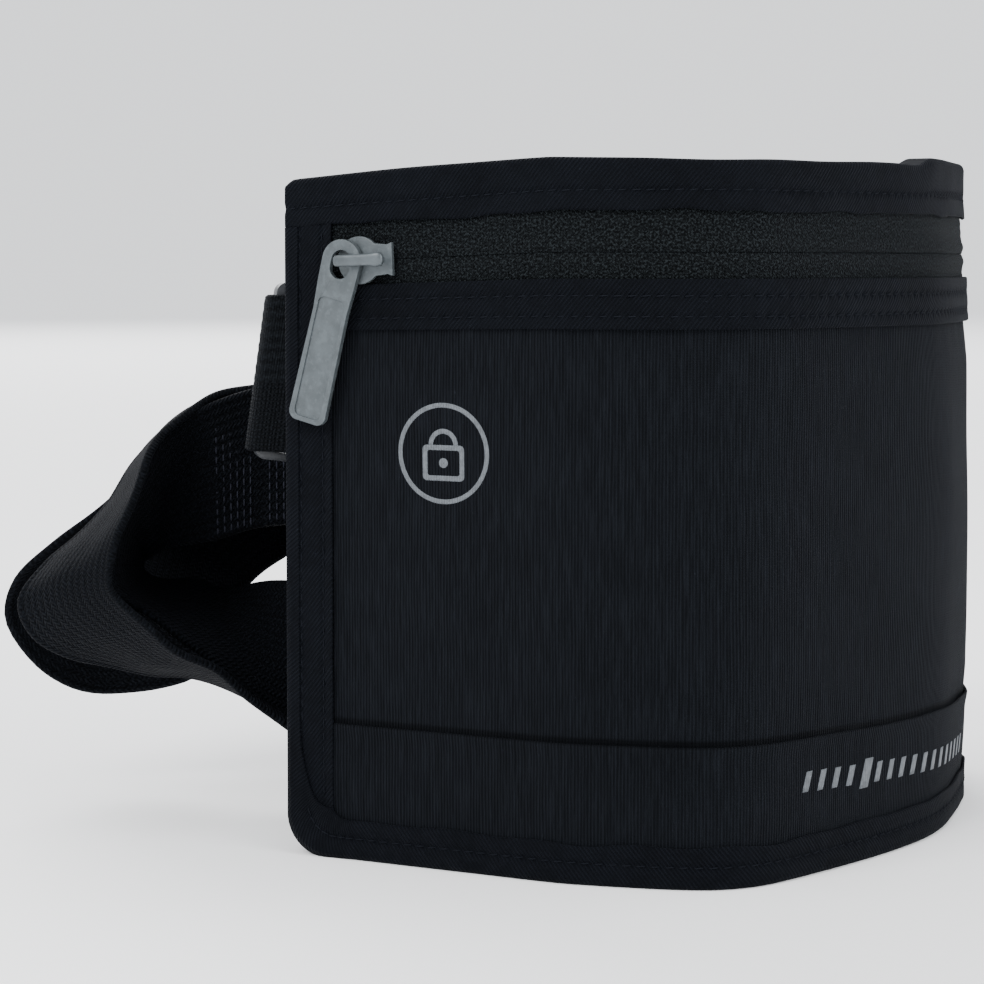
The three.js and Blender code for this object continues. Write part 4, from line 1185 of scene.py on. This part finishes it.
def round_box(centre, half, radius, count=8):
    """Points round a rectangle with rounded corners."""
    points = []
    for k, (x, y) in enumerate(((1, 1), (-1, 1), (-1, -1), (1, -1))):
        for t in np.linspace(0, math.pi / 2, count):
            angle = t + k * math.pi / 2
            points.append((centre[0] + x * (half[0] - radius) + radius * math.cos(angle),
                           centre[1] + y * (half[1] - radius) + radius * math.sin(angle)))
    return points


def circle(centre, radius, stop=2 * math.pi, count=64, end=False):
    return [(centre[0] + radius * math.cos(t), centre[1] + radius * math.sin(t))
            for t in np.linspace(0.0, stop, count, endpoint=end)]


BADGE = (33.5, 79.7)
lock = (BADGE[0], BADGE[1] - 1.8)
shackle = (BADGE[0], BADGE[1] + 1.6)
marks = [
    print_strip("mark_ring", circle(BADGE, 9.6, count=96), circle(BADGE, 8.7, count=96), front_surface),
    print_strip("mark_lock", round_box(lock, (4.4, 3.4), 0.9), round_box(lock, (3.4, 2.4), 0.5), front_surface),
    print_strip("mark_shackle", circle(shackle, 3.1, math.pi, 24, True), circle(shackle, 2.15, math.pi, 24, True),
                front_surface, closed=False),
    print_strip("mark_keyhole", circle(lock, 0.95, count=20), circle(lock, 0.08, count=20), front_surface),
]
BARS, TALL_BAR, BAR_PITCH = 17, 4, 4.4
for k in range(BARS):
    s0, wide, tall = 105.5 + k * BAR_PITCH, 1.7, 1.9
    z0 = 18.1 - 0.055 * (s0 - 105)
    if k == TALL_BAR:
        s0, wide, tall = s0 - 0.3, 2.6, 2.8
    low = [(s0 + t, z0 - tall) for t in np.linspace(0, wide, 4)]
    high = [(s0 + 0.7 * tall + t, z0 + tall) for t in np.linspace(0, wide, 4)]
    marks.append(print_strip("mark_bar_" + str(k), high, low, hem_surface, closed=False))
for mark in marks:
    dress(mark, M_INK, "pouch", "shell_cloth")

# ---- floor and light ----
floor_mesh = bpy.data.meshes.new("floor")
FLOOR = 40  # half the floor's side, in metres
floor_mesh.from_pydata([(-FLOOR, -FLOOR, 0), (FLOOR, -FLOOR, 0), (FLOOR, FLOOR, 0), (-FLOOR, FLOOR, 0)], [],
                       [(0, 1, 2, 3)])
floor = add_object("floor", floor_mesh)
paper = bpy.data.materials.new("floor_paper")
paper.use_nodes = True
paper_inputs = paper.node_tree.nodes["Principled BSDF"].inputs
for socket, value in (("Base Color", (0.94, 0.94, 0.945, 1)), ("Roughness", 0.9),
                      ("Emission Color", (1, 1, 1, 1)), ("Emission Strength", 0.08)):
    paper_inputs[socket].default_value = value
floor.data.materials.append(paper)


def soft_light(name, at, aim, size, power):
    light = add_object(name, bpy.data.lights.new(name, "AREA"))
    light.data.shape = "RECTANGLE"
    light.data.size, light.data.size_y = size
    light.data.energy = power
    light.location = at
    light.rotation_euler = (Vector(aim) - Vector(at)).to_track_quat("-Z", "Y").to_euler()


soft_light("key", (-0.75, -0.85, 0.95), (0, 0, 0.06), (0.8, 0.8), 20)
soft_light("fill", (0.95, -0.70, 0.55), (0, 0, 0.06), (0.9, 0.9), 12)
soft_light("rim", (-1.1, 3.0, 2.3), (0, 0, 0.08), (2.8, 1.9), 155)
world = bpy.data.worlds.new("studio")
bpy.context.scene.world = world
world.use_nodes = True
world.node_tree.nodes["Background"].inputs["Color"].default_value = (0.95, 0.97, 1.0, 1)
world.node_tree.nodes["Background"].inputs["Strength"].default_value = 1.5
